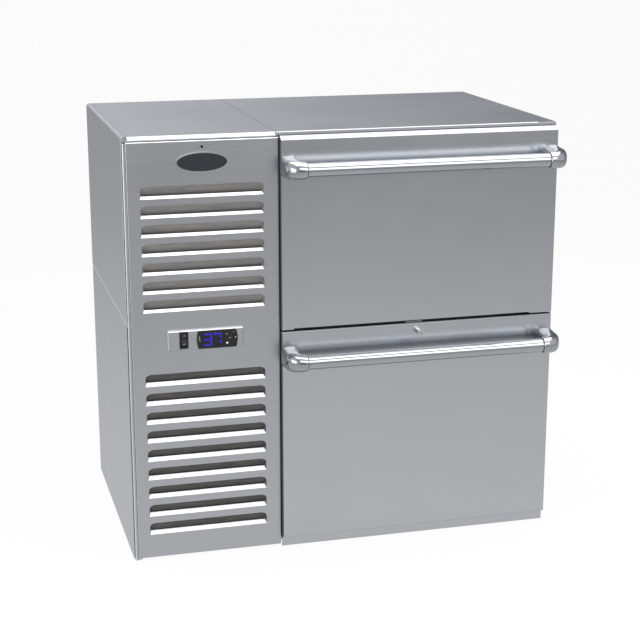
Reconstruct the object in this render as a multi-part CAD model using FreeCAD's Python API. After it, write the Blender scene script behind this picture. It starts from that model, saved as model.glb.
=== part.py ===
import FreeCAD, Part
import math
import os

# Undercounter drawer refrigerator: machine compartment on the left, two drawers on the right.
# Millimetres, +Z up, front towards -Y. Every length below is measured from the left side (x),
# from the front plane of the cabinet (y, positive to the back) and from the floor (z).

# --- driving dimensions: cabinet -------------------------------------------------------------
WIDTH = 914.4                # left side panel to right side panel
HEIGHT = 889.0               # floor to worktop face
SHEET = 1.2                  # outer stainless sheet
LINER_T = 1.0                # inner liner sheet
SEAT = 0.2                   # gap between pieces that only lie against each other
RUN = 0.3                    # gap between pieces that slide past each other

BASE_H = 22.0                # height of the hollow base
BASE_INSET = 1.2             # base inside the side panels
BASE_WALL = 2.0
LEG_INSET_X = 45.0           # leg inserts from the sides
LEG_INSET_Y = 55.0           # leg inserts from front and back
LEG_HOLE_R = 5.5             # bore of a leg insert
LEG_BOSS_R = 15.0
KICK_Y = -6.0                # front of the kick plate
KICK_TOP_GAP = 2.5           # kick plate below the lower drawer

COMPARTMENT_W = 311.0        # left side to the seam in the top
SIDE_BOTTOM = 3.0            # underside of the side panels above the floor
SIDE_SEAM_Z = 514.0          # seam between the lower and the upper side panel
SIDE_SEAM_GAP = 0.8
LOWER_SIDE_INSET = 3.0       # lower side panel ends this much before the upper one
SIDE_TOP_R = 7.0             # bend from the side panel into its top flange
SIDE_FLANGE_W = 13.0         # flange of the side panel on the top
SIDE_FLANGE_JOINT_Y = 121.0  # butt joint in that flange
SIDE_FLANGE_JOINT_W = 1.0

TOP_LIP_LEFT = 10.4          # front lip of the left top
TOP_LIP_LEFT_R = 8.5
TOP_LIP_RIGHT = 6.5          # front lip of the right top
TOP_LIP_RIGHT_R = 1.8
TOP_SEAM_GAP = 0.8
TOP_HEM = 12.0               # return below the front lip
TOP_PLUG_X = 598.0           # plugged hole near the back of the right top
TOP_PLUG_BACK = 15.0         # its centre from the back
TOP_PLUG_R = 5.0
TOP_PLUG_GROOVE = 0.8
GLAND_X = 40.0               # gland of the supply cord in the back panel
GLAND_Z = 70.0
GLAND_R = 11.0               # hole in the back panel
GLAND_WALL = 4.0
GLAND_PROUD = 8.0            # collar behind the back panel
VENT = (80.0, 260.0, 8.0, 22.0)      # slot from x, to x, height, pitch
VENT_SPANS = ((90.0, 340.0), (640.0, 755.0))  # lowest and highest place of a slot in each group

# --- driving dimensions: insulated body --------------------------------------------------------
BODY_X0 = 313.0              # left face of the insulated body
BODY_FRONT_Y = 45.0          # face against which the drawer gaskets close
WALL_SIDE = 40.0             # insulated wall, sides
WALL_BACK = 45.0
WALL_TOP = 40.0
WALL_BOTTOM = 40.0
MULLION_H = 60.0             # bar between the two drawer openings
MULLION_DEPTH = 50.0
FRAME_T = 1.5                # face frame sheet

# --- driving dimensions: drawers ---------------------------------------------------------------
DRAWER_X0 = 317.0            # left edge of the drawer fronts
DRAWER_FACE_Y = -16.5        # face of the drawer fronts
DRAWER_FRONT_T = 50.0        # thickness of the insulated drawer front
LOWER_FRONT_GAP = 0.5        # lower drawer front above the base
LOWER_FRONT_H = 455.5        # height of the lower drawer front
FRONT_GAP = 2.5              # between the two drawer fronts
UPPER_FRONT_GAP = 7.0        # upper drawer front below the worktop face
UPPER_TOP_R = 9.5            # rounded top edge of the upper drawer front
LOWER_TOP_R = 5.0            # rounded top edge of the lower drawer front
FRONT_EDGE_R = 2.2           # the other bent edges
NOTCH_H = 3.5                # relief in the bottom edge of the upper drawer front
NOTCH_LEFT = 26.0            # relief begins this far from the left edge
NOTCH_RIGHT = 52.0
NOTCH_DEPTH = 38.0
GASKET_INSET = 12.0          # gasket from the edges of the drawer front
GASKET_W = 16.0
SLIDE_L = 450.0              # closed length of a telescopic slide
SLIDE_BACK_GAP = 10.6        # slide to the back of the liner
SLIDE_Y0 = 52.0              # front end of the closed slide
SLIDE_W = 12.7               # width of the complete slide
SLIDE_H = 46.0
SLIDE_T = 1.2
TRAY_SHORT = 14.0            # tray ends this much before the slide
TRAY_R = 14.0                # vertical corners of the tray
TRAY_RIM = 4.0
TRAY_FLOOR_GAP = 12.0        # tray above the liner or the bar
UPPER_TRAY_TOP_GAP = 16.6    # upper tray below the evaporator
LOWER_TRAY_TOP_GAP = 44.0    # lower tray below the bar

# --- driving dimensions: handles ---------------------------------------------------------------
TUBE_R = 14.3
TUBE_WALL = 1.5
ELBOW_R = 17.5
ELBOW_BEND = 26.0            # centreline radius of the elbow
ELBOW_STUB = 4.0             # straight part of the elbow before the tube
HANDLE_Y = -66.0             # axis of the tube
POST_INSET = 13.3            # axis of a handle post from the edge of the drawer front
UPPER_HANDLE_DROP = 62.7     # handle axis below the top of its drawer front
LOWER_HANDLE_DROP = 55.3

# --- driving dimensions: lock ------------------------------------------------------------------
LOCK_X = 614.0
LOCK_DROP = 19.5             # lock axis below the top of the lower drawer front
LOCK_R = 7.6
LOCK_PROUD = 15.0            # cylinder in front of the drawer face
LOCK_PLUG_R = 5.6
LOCK_KEY_SLOT = (5.2, 1.5)
LOCK_CASE = (34.0, 14.0, 34.0)
LOCK_CASE_GAP = 8.0          # case behind the face sheet
BOLT_W = 14.0
BOLT_T = 5.0
BOLT_L = 16.0
KEEPER_X0 = 586.5
KEEPER_W = 36.5
KEEPER_T = 1.2
KEEPER_FRONT_Y = -9.0

# --- driving dimensions: louvred front ---------------------------------------------------------
GRILLE_X0 = 9.3
GRILLE_X1 = 315.6
GRILLE_Z0 = 4.0
GRILLE_TOP_GAP = 10.7        # louvred front below the worktop face
GRILLE_FACE_Y = -4.0
GRILLE_RETURN = 3.6          # depth of the bent edges
GRILLE_EDGE_R = 1.7          # bend at its top and bottom
GRILLE_SIDE_R = 0.8          # bend at its sides
LOUVRE_X0 = 34.5
LOUVRE_L = 250.0
LOUVRE_H = 25.4              # height of the slot
LOUVRE_DEPTH = 15.0          # how far the hood is pressed in
LOUVRE_END_R = 10.0          # upper corners of the slot
LOUVRE_END_RUN = 6.0         # length in which the end of a hood comes forward to the face
LOUVRE_END_TURN_R = 8.0      # bend from the end into the length of the hood
LOUVRE_T = 1.2
TOP_GROUP_DROP = 124.0            # slot bottom of the first louvre below the worktop face
TOP_GROUP_PITCH = 38.6
TOP_GROUP_LIP = (5.0, 5.4)        # depth and height of the turned lower lip
TOP_GROUP_END = 40.0              # least height of the last slot above the control plate
BOTTOM_GROUP_DROP = 74.1          # first slot bottom of the lower group below the control plate
BOTTOM_GROUP_PITCH = 40.4
BOTTOM_GROUP_LIP = (6.6, 7.3)
BOTTOM_GROUP_END = 48.0           # least height of the last slot above the panel's lower edge
POST_X0 = 2.4                # corner post beside the grille
POST_X1 = 17.7
POST_T = 1.5
POST_DEPTH = 28.0
POST_NOSE_X = 9.1
POST_NOSE_Y = -3.0

# --- driving dimensions: badge, screw and controls ---------------------------------------------
BADGE = (159.6, 54.0, 52.8, 20.4, 2.4)    # centre x, drop from the top, half width, half height, proud
GRILLE_SCREW = (160.2, 23.3, 2.6, 1.2)    # x, drop from the top, head radius, proud
PLATE_X0 = 80.8
PLATE_X1 = 238.0
PLATE_Z0 = 452.4
PLATE_Z1 = 493.2
PLATE_PROUD = 7.0
PLATE_R = 2.8                # its corners
PLATE_EDGE_R = 2.2           # its rim
SWITCH_X = 114.0
SWITCH_Z = 473.8
SWITCH_BEZEL = (18.2, 35.6)
SWITCH_BODY = (15.0, 31.0, 26.0)
SWITCH_PROUD = 1.6
ROCKER_W = 10.6
ROCKER_H = 24.0
ROCKER_TILT = 9.0
ROCKER_PIN_R = 1.4
CONTROL_X = 182.9
CONTROL_Z = 472.8
CONTROL_FACE = (84.0, 37.6)
CONTROL_BULGE = 3.0
CONTROL_BODY = (70.0, 28.6, 60.0)
CONTROL_PROUD = 4.0
LENS = (-10.0, 0.0, 38.0, 27.0)      # centre from the controller's centre, width, height
LENS_T = 1.6
BUTTON_R = 2.3
BUTTON_TRAVEL = 0.8
BUTTON_PROUD = 0.9
BUTTON_L = 3.4
BUTTON_PLACES = {
    "button_up": (24.0, 11.0),
    "button_set": (30.5, 2.0),
    "button_down": (24.0, -9.5),
    "button_light": (36.5, 8.5),
}

# --- driving dimensions: refrigeration ---------------------------------------------------------
UNIT_X0 = 20.0
UNIT_X1 = 300.0
UNIT_Y0 = 40.0
UNIT_BACK = 15.0             # unit in front of the back of the cabinet
UNIT_T = 2.0
COIL_Y0 = 42.0
COIL_T = 40.0
COIL_X0 = 34.0
COIL_X1 = 284.0
COIL_H = 330.0
COIL_FINS = 22
COIL_RETURNS = 6             # return bends at the end of the coil
COIL_RETURN_GAP = 30.0       # first and last bend from the ends
SHROUD_T = 1.2
SHROUD_DEPTH = 34.0
FAN_R = 108.0
FAN_TIP_GAP = 5.0
FAN_HUB_R = 26.0
FAN_W = 26.0
FAN_BLADES = 5
MOTOR_R = 42.0
MOTOR_L = 62.0
SHAFT_R = 3.0
SHAFT_FIT = 0.05
COMPRESSOR_X = 150.0
COMPRESSOR_BACK = 215.0      # compressor axis from the back of the cabinet
COMPRESSOR_R = 82.0
COMPRESSOR_H = 185.0
TERMINALS = (60.0, 55.0, 40.0, 26.0)  # width, height, height above the feet, proud of the terminal cover
FOOT_PITCH = 165.0
FOOT_R = 11.0
LINE_R = 4.8                 # discharge line
SUCTION_R = 6.3
LINE_RISE = 40.0             # discharge line above the coil
SUCTION_RISE = 60.0          # suction line above the compressor
DRIER_X = 60.0
DRIER_BACK = 145.0           # front end of the drier from the back of the cabinet
DRIER_R = 13.0
DRIER_L = 100.0
PAN_T = 1.0
PAN_H = 38.0
PAN_X0 = 90.0
PAN_X1 = 280.0
PAN_DEPTH = 75.0
PAN_BACK = 10.0              # pan in front of the unit's back edge
ELEC = (40.0, 180.0, 400.0, 160.0, 58.0)  # x, width, z, height, depth of the wiring box
EVAP_X0 = 430.0
EVAP_X1 = 800.0
EVAP_Y0 = 120.0
EVAP_BACK = 22.6             # evaporator cover to the back of the liner
EVAP_H = 72.0
EVAP_COIL_T = 100.0          # evaporator coil, front to back
EVAP_COIL_BACK = 30.0        # coil to the back of its cover
EVAP_FAN_R = 60.0
EVAP_FAN_W = 18.0
EVAP_HUB_R = 16.0

# --- places worked out from the driving dimensions ----------------------------------------------
DRAWER_X1 = WIDTH
ROOM_Y1 = SLIDE_Y0 + SLIDE_L + SLIDE_BACK_GAP
CAVITY_Y1 = ROOM_Y1 + LINER_T
BODY_Y1 = CAVITY_Y1 + WALL_BACK
BODY_DEPTH = BODY_Y1 + SEAT + SHEET       # front plane to the back of the back panel
LOWER_Z0 = BASE_H + LOWER_FRONT_GAP       # bottom edge of the lower drawer front
LOWER_Z1 = LOWER_Z0 + LOWER_FRONT_H
UPPER_Z0 = LOWER_Z1 + FRONT_GAP
UPPER_Z1 = HEIGHT - UPPER_FRONT_GAP
UPPER_HANDLE_Z = UPPER_Z1 - UPPER_HANDLE_DROP
LOWER_HANDLE_Z = LOWER_Z1 - LOWER_HANDLE_DROP
LOCK_Z = LOWER_Z1 - LOCK_DROP
GRILLE_Z1 = HEIGHT - GRILLE_TOP_GAP
OVERHANG = ELBOW_R - POST_INSET
FRONT_REACH = -HANDLE_Y + ELBOW_R
ORIGIN = FreeCAD.Vector((WIDTH + OVERHANG) / 2, (BODY_DEPTH + GLAND_PROUD - FRONT_REACH) / 2, 0)
DRAWER_BACK_Y = DRAWER_FACE_Y + DRAWER_FRONT_T
BODY_X1 = WIDTH - SHEET - SEAT
BODY_Z0 = BASE_H + SEAT
BODY_Z1 = HEIGHT - SHEET - SEAT
CAVITY_X0 = BODY_X0 + WALL_SIDE
CAVITY_X1 = BODY_X1 - WALL_SIDE
CAVITY_Z0 = BODY_Z0 + WALL_BOTTOM
CAVITY_Z1 = BODY_Z1 - WALL_TOP
MULLION_Z = (LOWER_Z1 + UPPER_Z0) / 2
ROOM_X0 = CAVITY_X0 + LINER_T
ROOM_X1 = CAVITY_X1 - LINER_T
ROOM_Z1 = CAVITY_Z1 - LINER_T
TRAY_X0 = ROOM_X0 + SLIDE_W
TRAY_X1 = ROOM_X1 - SLIDE_W
POST_LEFT_X = DRAWER_X0 + POST_INSET
POST_RIGHT_X = DRAWER_X1 - POST_INSET
UNIT_Y1 = BODY_DEPTH - UNIT_BACK
UNIT_Z = BASE_H + UNIT_T
COMPRESSOR_Y = BODY_DEPTH - COMPRESSOR_BACK
DRIER_Y = BODY_DEPTH - DRIER_BACK
FAN_X = (COIL_X0 + COIL_X1) / 2
FAN_Z = UNIT_Z + COIL_H / 2
FAN_Y = COIL_Y0 + COIL_T + SHROUD_DEPTH - FAN_W / 2 + 2
EVAP_X = (EVAP_X0 + EVAP_X1) / 2
EVAP_FAN_Y = EVAP_Y0 + EVAP_FAN_R + 35
EVAP_Y1 = ROOM_Y1 - EVAP_BACK
EVAP_Z0 = ROOM_Z1 - EVAP_H
TRAY_BACK_Y = SLIDE_Y0 + SLIDE_L - TRAY_SHORT
UPPER_TRAY_Z0 = MULLION_Z + MULLION_H / 2 + TRAY_FLOOR_GAP
UPPER_TRAY_Z1 = EVAP_Z0 - UPPER_TRAY_TOP_GAP
LOWER_TRAY_Z0 = CAVITY_Z0 + LINER_T + TRAY_FLOOR_GAP
LOWER_TRAY_Z1 = MULLION_Z - MULLION_H / 2 - LOWER_TRAY_TOP_GAP
UPPER_SLIDE_Z = (UPPER_TRAY_Z0 + UPPER_TRAY_Z1) / 2
LOWER_SLIDE_Z = (LOWER_TRAY_Z0 + LOWER_TRAY_Z1) / 2
TOP_GROUP_Z = HEIGHT - TOP_GROUP_DROP
TOP_GROUP_COUNT = 1 + int((TOP_GROUP_Z - PLATE_Z1 - TOP_GROUP_END) / TOP_GROUP_PITCH)
BOTTOM_GROUP_Z = PLATE_Z0 - BOTTOM_GROUP_DROP
BOTTOM_GROUP_COUNT = 1 + int((BOTTOM_GROUP_Z - GRILLE_Z0 - BOTTOM_GROUP_END) / BOTTOM_GROUP_PITCH)
PLATE_FACE_Y = GRILLE_FACE_Y - PLATE_PROUD

nodes = {}


def vec(x, y, z):
    return FreeCAD.Vector(x, y, z)


def box(x0, x1, y0, y1, z0, z1):
    return Part.makeBox(x1 - x0, y1 - y0, z1 - z0, vec(x0, y0, z0))


def rod(x, y, z, radius, length, axis):
    return Part.makeCylinder(radius, length, vec(x, y, z), vec(*axis))


def outline(points, radii):
    """Closed outline through 2-D points, each corner rounded by its radius."""
    count = len(points)
    entries = []
    for i, (px, py) in enumerate(points):
        ax, ay = points[i - 1]
        bx, by = points[(i + 1) % count]
        la = math.hypot(ax - px, ay - py)
        lb = math.hypot(bx - px, by - py)
        ua = ((ax - px) / la, (ay - py) / la)
        ub = ((bx - px) / lb, (by - py) / lb)
        radius = radii[i]
        if radius <= 0:
            entries.append(((px, py), None, (px, py)))
            continue
        angle = math.acos(max(-1.0, min(1.0, ua[0] * ub[0] + ua[1] * ub[1])))
        cut = radius / math.tan(angle / 2)
        start = (px + ua[0] * cut, py + ua[1] * cut)
        end = (px + ub[0] * cut, py + ub[1] * cut)
        bis = (ua[0] + ub[0], ua[1] + ub[1])
        size = math.hypot(*bis)
        reach = radius / math.sin(angle / 2) - radius
        middle = (px + bis[0] / size * reach, py + bis[1] / size * reach)
        entries.append((start, middle, end))
    return entries


def prism(points, radii, axis, start, end):
    """Extrude a rounded outline along x, y or z; its points are (y, z), (x, z) or (x, y)."""
    place = {
        "x": lambda p: vec(start, p[0], p[1]),
        "y": lambda p: vec(p[0], start, p[1]),
        "z": lambda p: vec(p[0], p[1], start),
    }[axis]
    entries = outline(points, radii)
    edges = []
    for i, (begin, middle, end_point) in enumerate(entries):
        if middle is not None:
            edges.append(Part.Arc(place(begin), place(middle), place(end_point)).toShape())
        follow = entries[(i + 1) % len(entries)][0]
        if math.dist(end_point, follow) > 1e-6:
            edges.append(Part.LineSegment(place(end_point), place(follow)).toShape())
    face = Part.Face(Part.Wire(Part.__sortEdges__(edges)))
    along = {"x": vec(1, 0, 0), "y": vec(0, 1, 0), "z": vec(0, 0, 1)}[axis]
    solid = face.extrude(along * (end - start))
    if solid.Volume < 0:
        solid.reverse()
    return solid


def rounded_plate(x0, x1, z0, z1, radius, y0, y1):
    points = [(x0, z0), (x1, z0), (x1, z1), (x0, z1)]
    return prism(points, [radius] * 4, "y", y0, y1)


def rounded_block(x0, x1, y0, y1, z0, z1, radius):
    points = [(x0, y0), (x1, y0), (x1, y1), (x0, y1)]
    return prism(points, [radius] * 4, "z", z0, z1)


def keep(name, *solids):
    nodes[name] = list(solids)


def mirrored_x(shape, x):
    return shape.mirror(vec(x, 0, 0), vec(1, 0, 0))


# --- cabinet --------------------------------------------------------------------------------------
def base_frame():
    x0, x1 = BASE_INSET, WIDTH - BASE_INSET
    y0, y1 = POST_DEPTH, BODY_DEPTH - SHEET
    floor = box(x0, x1, y0, y1, 0, BASE_H)
    inside = box(x0 + BASE_WALL, x1 - BASE_WALL, y0 + BASE_WALL, y1 - BASE_WALL, BASE_WALL, BASE_H - BASE_WALL)
    legs = [(x, y) for x in (LEG_INSET_X, WIDTH - LEG_INSET_X) for y in (LEG_INSET_Y, BODY_DEPTH - LEG_INSET_Y)]
    for x, y in legs:
        inside = inside.cut(rod(x, y, 0, LEG_BOSS_R, BASE_H, (0, 0, 1)))
    floor = floor.cut(inside)
    for x, y in legs:
        floor = floor.cut(rod(x, y, -1, LEG_HOLE_R, BASE_H - BASE_WALL + 1, (0, 0, 1)))
    keep("base_frame", floor)


def kick_plate():
    top = LOWER_Z0 - KICK_TOP_GAP
    points = [(KICK_Y, 0), (KICK_Y, top), (POST_DEPTH, top), (POST_DEPTH, top - SHEET)]
    points += [(KICK_Y + SHEET, top - SHEET), (KICK_Y + SHEET, 0)]
    strip = prism(points, [0, 1.6, 0, 0, 0.4, 0], "x", DRAWER_X0, WIDTH - BASE_INSET)
    keep("kick_plate", strip)


def corner_post():
    z1 = GRILLE_Z1 - 1
    nose = [(POST_X0, 0.4), (POST_X0, POST_NOSE_Y), (POST_NOSE_X, POST_NOSE_Y), (POST_NOSE_X, 0.4)]
    strip = prism(nose, [0, 2.2, 2.2, 0], "z", 0, z1)
    column = box(POST_X0, POST_X1, 0, POST_DEPTH, 0, z1)
    hollow = box(POST_X0 + POST_T, POST_X1 + 1, POST_T, POST_DEPTH - POST_T, -1, z1 + 1)
    keep("corner_post", strip.fuse(column.cut(hollow)).removeSplitter())


def side_panels_left():
    z1 = HEIGHT
    points = [(0, SIDE_SEAM_Z), (0, z1), (SIDE_FLANGE_W, z1), (SIDE_FLANGE_W, z1 - SHEET)]
    points += [(SHEET, z1 - SHEET), (SHEET, SIDE_SEAM_Z)]
    radii = [0, SIDE_TOP_R, 0, 0, SIDE_TOP_R - SHEET, 0]
    upper = prism(points, radii, "y", 0, BODY_DEPTH)
    joint = box(
        SIDE_TOP_R, SIDE_FLANGE_W + 1, SIDE_FLANGE_JOINT_Y, SIDE_FLANGE_JOINT_Y + SIDE_FLANGE_JOINT_W, z1 - 3, z1 + 1
    )
    keep("side_panel_left_upper", upper.cut(joint))
    back = BODY_DEPTH - LOWER_SIDE_INSET
    lower = box(0, SHEET, 0, back, SIDE_BOTTOM, SIDE_SEAM_Z - SIDE_SEAM_GAP)
    joggle = box(SHEET, 2 * SHEET, POST_DEPTH + 4, back - 4, SIDE_SEAM_Z - 25, SIDE_SEAM_Z + 12)
    keep("side_panel_left_lower", lower.fuse(joggle).removeSplitter())


def side_panel_right():
    top = HEIGHT - TOP_LIP_RIGHT - 1.5
    x0, x1 = WIDTH - SHEET, WIDTH
    sheet = box(x0, x1, BODY_FRONT_Y, BODY_DEPTH, SIDE_BOTTOM, top)
    keep("side_panel_right", sheet)


def top_panels():
    z1 = HEIGHT
    lip = z1 - TOP_LIP_LEFT
    y1 = BODY_DEPTH - SHEET
    points = [(y1, z1 - SHEET), (y1, z1), (0, z1), (0, lip), (TOP_HEM, lip), (TOP_HEM, lip + SHEET)]
    points += [(SHEET, lip + SHEET), (SHEET, z1 - SHEET)]
    radii = [0, 0, TOP_LIP_LEFT_R, 1.4, 0, 0, 0.3, TOP_LIP_LEFT_R - SHEET]
    x0 = SIDE_FLANGE_W + SEAT
    x1 = COMPARTMENT_W - TOP_SEAM_GAP / 2
    left = prism(points, radii, "x", x0, x1)
    under = z1 - SHEET - SEAT
    xs = SHEET + SEAT
    tab = [(xs, lip), (x0 + 1, lip), (x0 + 1, under), (xs, under)]
    tab = prism(tab, [0, 0, 0, SIDE_TOP_R - SHEET - SEAT], "y", 0, SHEET)
    tab = tab.fuse(box(xs, x0 + 1, 0, TOP_HEM, lip, lip + SHEET))
    keep("top_panel_left", left.fuse(tab.cut(box(x0, x0 + 2, -1, SHEET, z1 - TOP_LIP_LEFT_R, z1))).removeSplitter())

    lip = z1 - TOP_LIP_RIGHT
    r0, r1 = TOP_LIP_RIGHT_R, TOP_LIP_RIGHT_R - SHEET
    points = [(y1, z1 - SHEET), (y1, z1), (0, z1), (0, lip), (TOP_HEM, lip), (TOP_HEM, lip + SHEET)]
    points += [(SHEET, lip + SHEET), (SHEET, z1 - SHEET)]
    x0 = COMPARTMENT_W + TOP_SEAM_GAP / 2
    right = prism(points, [0, 0, r0, 0.6, 0, 0, 0.2, r1], "x", x0, WIDTH - r0)
    deep_lip = box(x0, GRILLE_X1, 0, SHEET, z1 - TOP_LIP_LEFT, lip + 1)
    side = [(WIDTH - 40, z1 - SHEET), (WIDTH - 40, z1), (WIDTH, z1), (WIDTH, lip), (WIDTH - SHEET, lip)]
    side += [(WIDTH - SHEET, z1 - SHEET)]
    edge = prism(side, [0, 0, r0, 0, 0, r1], "y", 0, y1)
    plug_y = BODY_DEPTH - TOP_PLUG_BACK
    groove = rod(TOP_PLUG_X, plug_y, z1 - SHEET / 2, TOP_PLUG_R + TOP_PLUG_GROOVE, SHEET, (0, 0, 1))
    groove = groove.cut(rod(TOP_PLUG_X, plug_y, z1 - SHEET, TOP_PLUG_R, 2 * SHEET, (0, 0, 1)))
    keep("top_panel_right", right.fuse(edge).fuse(deep_lip).removeSplitter().cut(groove))


def back_panel():
    y0, y1 = BODY_DEPTH - SHEET, BODY_DEPTH
    panel = box(SHEET, WIDTH - SHEET, y0, y1, BASE_H / 2, HEIGHT - SHEET)
    panel = panel.cut(box(0, SIDE_TOP_R, y0, y1, HEIGHT - SIDE_TOP_R, HEIGHT))
    from_x, to_x, slot, pitch = VENT
    for first, last in VENT_SPANS:
        for row in range(1 + int((last - first) / pitch)):
            z = first + row * pitch
            panel = panel.cut(rounded_plate(from_x, to_x, z, z + slot, slot / 2 - 0.1, y0, y1))
    panel = panel.cut(rod(GLAND_X, y0, GLAND_Z, GLAND_R, SHEET, (0, 1, 0)))
    keep("back_panel", panel)
    collar = rod(GLAND_X, y1, GLAND_Z, GLAND_R + GLAND_WALL, GLAND_PROUD, (0, 1, 0))
    collar = collar.fuse(rod(GLAND_X, y0 - 6, GLAND_Z, GLAND_R - 0.05, 6 + SHEET, (0, 1, 0)))
    collar = collar.cut(rod(GLAND_X, y0 - 7, GLAND_Z, GLAND_R - GLAND_WALL, GLAND_PROUD + 20, (0, 1, 0)))
    keep("cord_gland", collar.removeSplitter())


def insulated_body():
    block = box(BODY_X0, BODY_X1, BODY_FRONT_Y + FRAME_T, BODY_Y1, BODY_Z0, BODY_Z1)
    cavity = box(CAVITY_X0, CAVITY_X1, 0, CAVITY_Y1, CAVITY_Z0, CAVITY_Z1)
    keep("insulated_body", block.cut(cavity))
    shell = box(CAVITY_X0, CAVITY_X1, BODY_FRONT_Y + FRAME_T, CAVITY_Y1, CAVITY_Z0, CAVITY_Z1)
    room = box(ROOM_X0, ROOM_X1, 0, ROOM_Y1, CAVITY_Z0 + LINER_T, ROOM_Z1)
    keep("inner_liner", shell.cut(room))
    frame = box(BODY_X0, BODY_X1, BODY_FRONT_Y, BODY_FRONT_Y + FRAME_T, BODY_Z0, BODY_Z1)
    window = box(ROOM_X0, ROOM_X1, BODY_FRONT_Y - 1, BODY_FRONT_Y + FRAME_T + 1, CAVITY_Z0 + LINER_T, ROOM_Z1)
    keep("face_frame", frame.cut(window))
    z0, z1 = MULLION_Z - MULLION_H / 2, MULLION_Z + MULLION_H / 2
    y0, y1 = BODY_FRONT_Y, BODY_FRONT_Y + MULLION_DEPTH
    bar = prism([(y0, z0), (y1, z0), (y1, z1), (y0, z1)], [2, 4, 4, 2], "x", ROOM_X0 + SEAT, ROOM_X1 - SEAT)
    keep("mullion", bar)


# --- drawers --------------------------------------------------------------------------------------
def front_solid(z0, z1, round_r, inset):
    """Body of a drawer front, drawn in from its outer faces by inset; round_r is its top edge."""
    x0, x1 = DRAWER_X0 + inset, DRAWER_X1 - inset
    y0, y1 = DRAWER_FACE_Y + inset, DRAWER_BACK_Y
    low, high = z0 + inset, z1 - inset
    top_r = round_r - inset
    edge_r = max(FRONT_EDGE_R - inset, 0.3)
    points = [(y0, low), (y1, low), (y1, high), (y0, high)]
    solid = prism(points, [edge_r, 0, 0, top_r], "x", x0, x1)
    plan = [(x0, y0), (x1, y0), (x1, y1), (x0, y1)]
    return solid.common(prism(plan, [edge_r, edge_r, 0, 0], "z", low - 1, high + 1))


def relief(z0, grow):
    """Cutter of the relief in the bottom edge of the upper drawer front."""
    x0, x1 = DRAWER_X0 + NOTCH_LEFT - grow, DRAWER_X1 - NOTCH_RIGHT + grow
    y1 = DRAWER_FACE_Y + NOTCH_DEPTH + grow
    return box(x0, x1, DRAWER_FACE_Y - 1, y1, z0 - 1, z0 + NOTCH_H + grow)


def drawer_front(name, z0, z1, round_r, notch, pocket):
    outer = front_solid(z0, z1, round_r, 0)
    inner = front_solid(z0, z1, round_r, SHEET)
    core = front_solid(z0, z1, round_r, SHEET + SEAT / 2)
    if notch:
        outer = outer.cut(relief(z0, 0))
        inner = inner.cut(relief(z0, SHEET))
        core = core.cut(relief(z0, SHEET + SEAT / 2))
    skin = outer.cut(inner)
    if pocket is not None:
        skin = skin.cut(pocket)
        core = core.cut(pocket)
    keep(name + "_front_skin", skin)
    x0, x1 = DRAWER_X0 + GASKET_INSET, DRAWER_X1 - GASKET_INSET
    low, high = z0 + GASKET_INSET, z1 - GASKET_INSET
    keep(name + "_front_core", core)
    y0, y1 = DRAWER_BACK_Y, BODY_FRONT_Y - RUN
    ring = rounded_plate(x0, x1, low, high, 6, y0, y1)
    hole = rounded_plate(x0 + GASKET_W, x1 - GASKET_W, low + GASKET_W, high - GASKET_W, 2, y0 - 1, y1 + 1)
    groove = rounded_plate(x0 - 1, x1 + 1, low - 1, high + 1, 6, y0 + 4, y0 + 7)
    keep_in = rounded_plate(x0 + 3, x1 - 3, low + 3, high - 3, 5, y0 + 3, y0 + 8)
    keep(name + "_gasket", ring.cut(hole).cut(groove.cut(keep_in)))


def handle(name, z):
    def elbow(x, toward):
        """Post, bend and stub of one end; toward is +1 when the tube lies to the right."""
        stub_x = x + toward * ELBOW_BEND
        start = min(stub_x, stub_x + toward * ELBOW_STUB)
        stub = rod(start, HANDLE_Y, z, ELBOW_R, ELBOW_STUB, (1, 0, 0))
        circle = Part.Wire(Part.makeCircle(ELBOW_R, vec(x, HANDLE_Y + ELBOW_BEND, z), vec(0, 1, 0)))
        bend = Part.Face(circle).revolve(vec(stub_x, HANDLE_Y + ELBOW_BEND, z), vec(0, 0, 1), toward * 90)
        post_y = HANDLE_Y + ELBOW_BEND
        post = rod(x, post_y, z, ELBOW_R, DRAWER_FACE_Y - post_y, (0, 1, 0))
        return stub.fuse(bend).fuse(post).removeSplitter()

    keep(name + "_handle_ends", elbow(POST_LEFT_X, 1), elbow(POST_RIGHT_X, -1))
    x0 = POST_LEFT_X + ELBOW_BEND + ELBOW_STUB
    x1 = POST_RIGHT_X - ELBOW_BEND - ELBOW_STUB
    tube = rod(x0, HANDLE_Y, z, TUBE_R, x1 - x0, (1, 0, 0))
    bore = rod(x0, HANDLE_Y, z, TUBE_R - TUBE_WALL, x1 - x0, (1, 0, 0))
    keep(name + "_handle_tube", tube.cut(bore))


def tray(name, z0, z1):
    y0, y1 = DRAWER_BACK_Y, TRAY_BACK_Y
    pan = rounded_block(TRAY_X0, TRAY_X1, y0, y1, z0, z1, TRAY_R)
    inside = rounded_block(
        TRAY_X0 + SHEET, TRAY_X1 - SHEET, y0 + SHEET, y1 - SHEET, z0 + SHEET, z1 + 1, TRAY_R - SHEET
    )
    rim = rounded_block(TRAY_X0 - TRAY_RIM, TRAY_X1 + TRAY_RIM, y0, y1 + TRAY_RIM, z1 - SHEET, z1, TRAY_R)
    pan = pan.fuse(rim).cut(inside)
    keep(name + "_drawer_tray", pan.removeSplitter())


def channel(x0, x1, y0, y1, z, half, open_right):
    """C-shaped rail; its web is on the left when it opens to the right."""
    body = box(x0, x1, y0, y1, z - half, z + half)
    if open_right:
        return body.cut(box(x0 + SLIDE_T, x1 + 1, y0 - 1, y1 + 1, z - half + SLIDE_T, z + half - SLIDE_T))
    return body.cut(box(x0 - 1, x1 - SLIDE_T, y0 - 1, y1 + 1, z - half + SLIDE_T, z + half - SLIDE_T))


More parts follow.
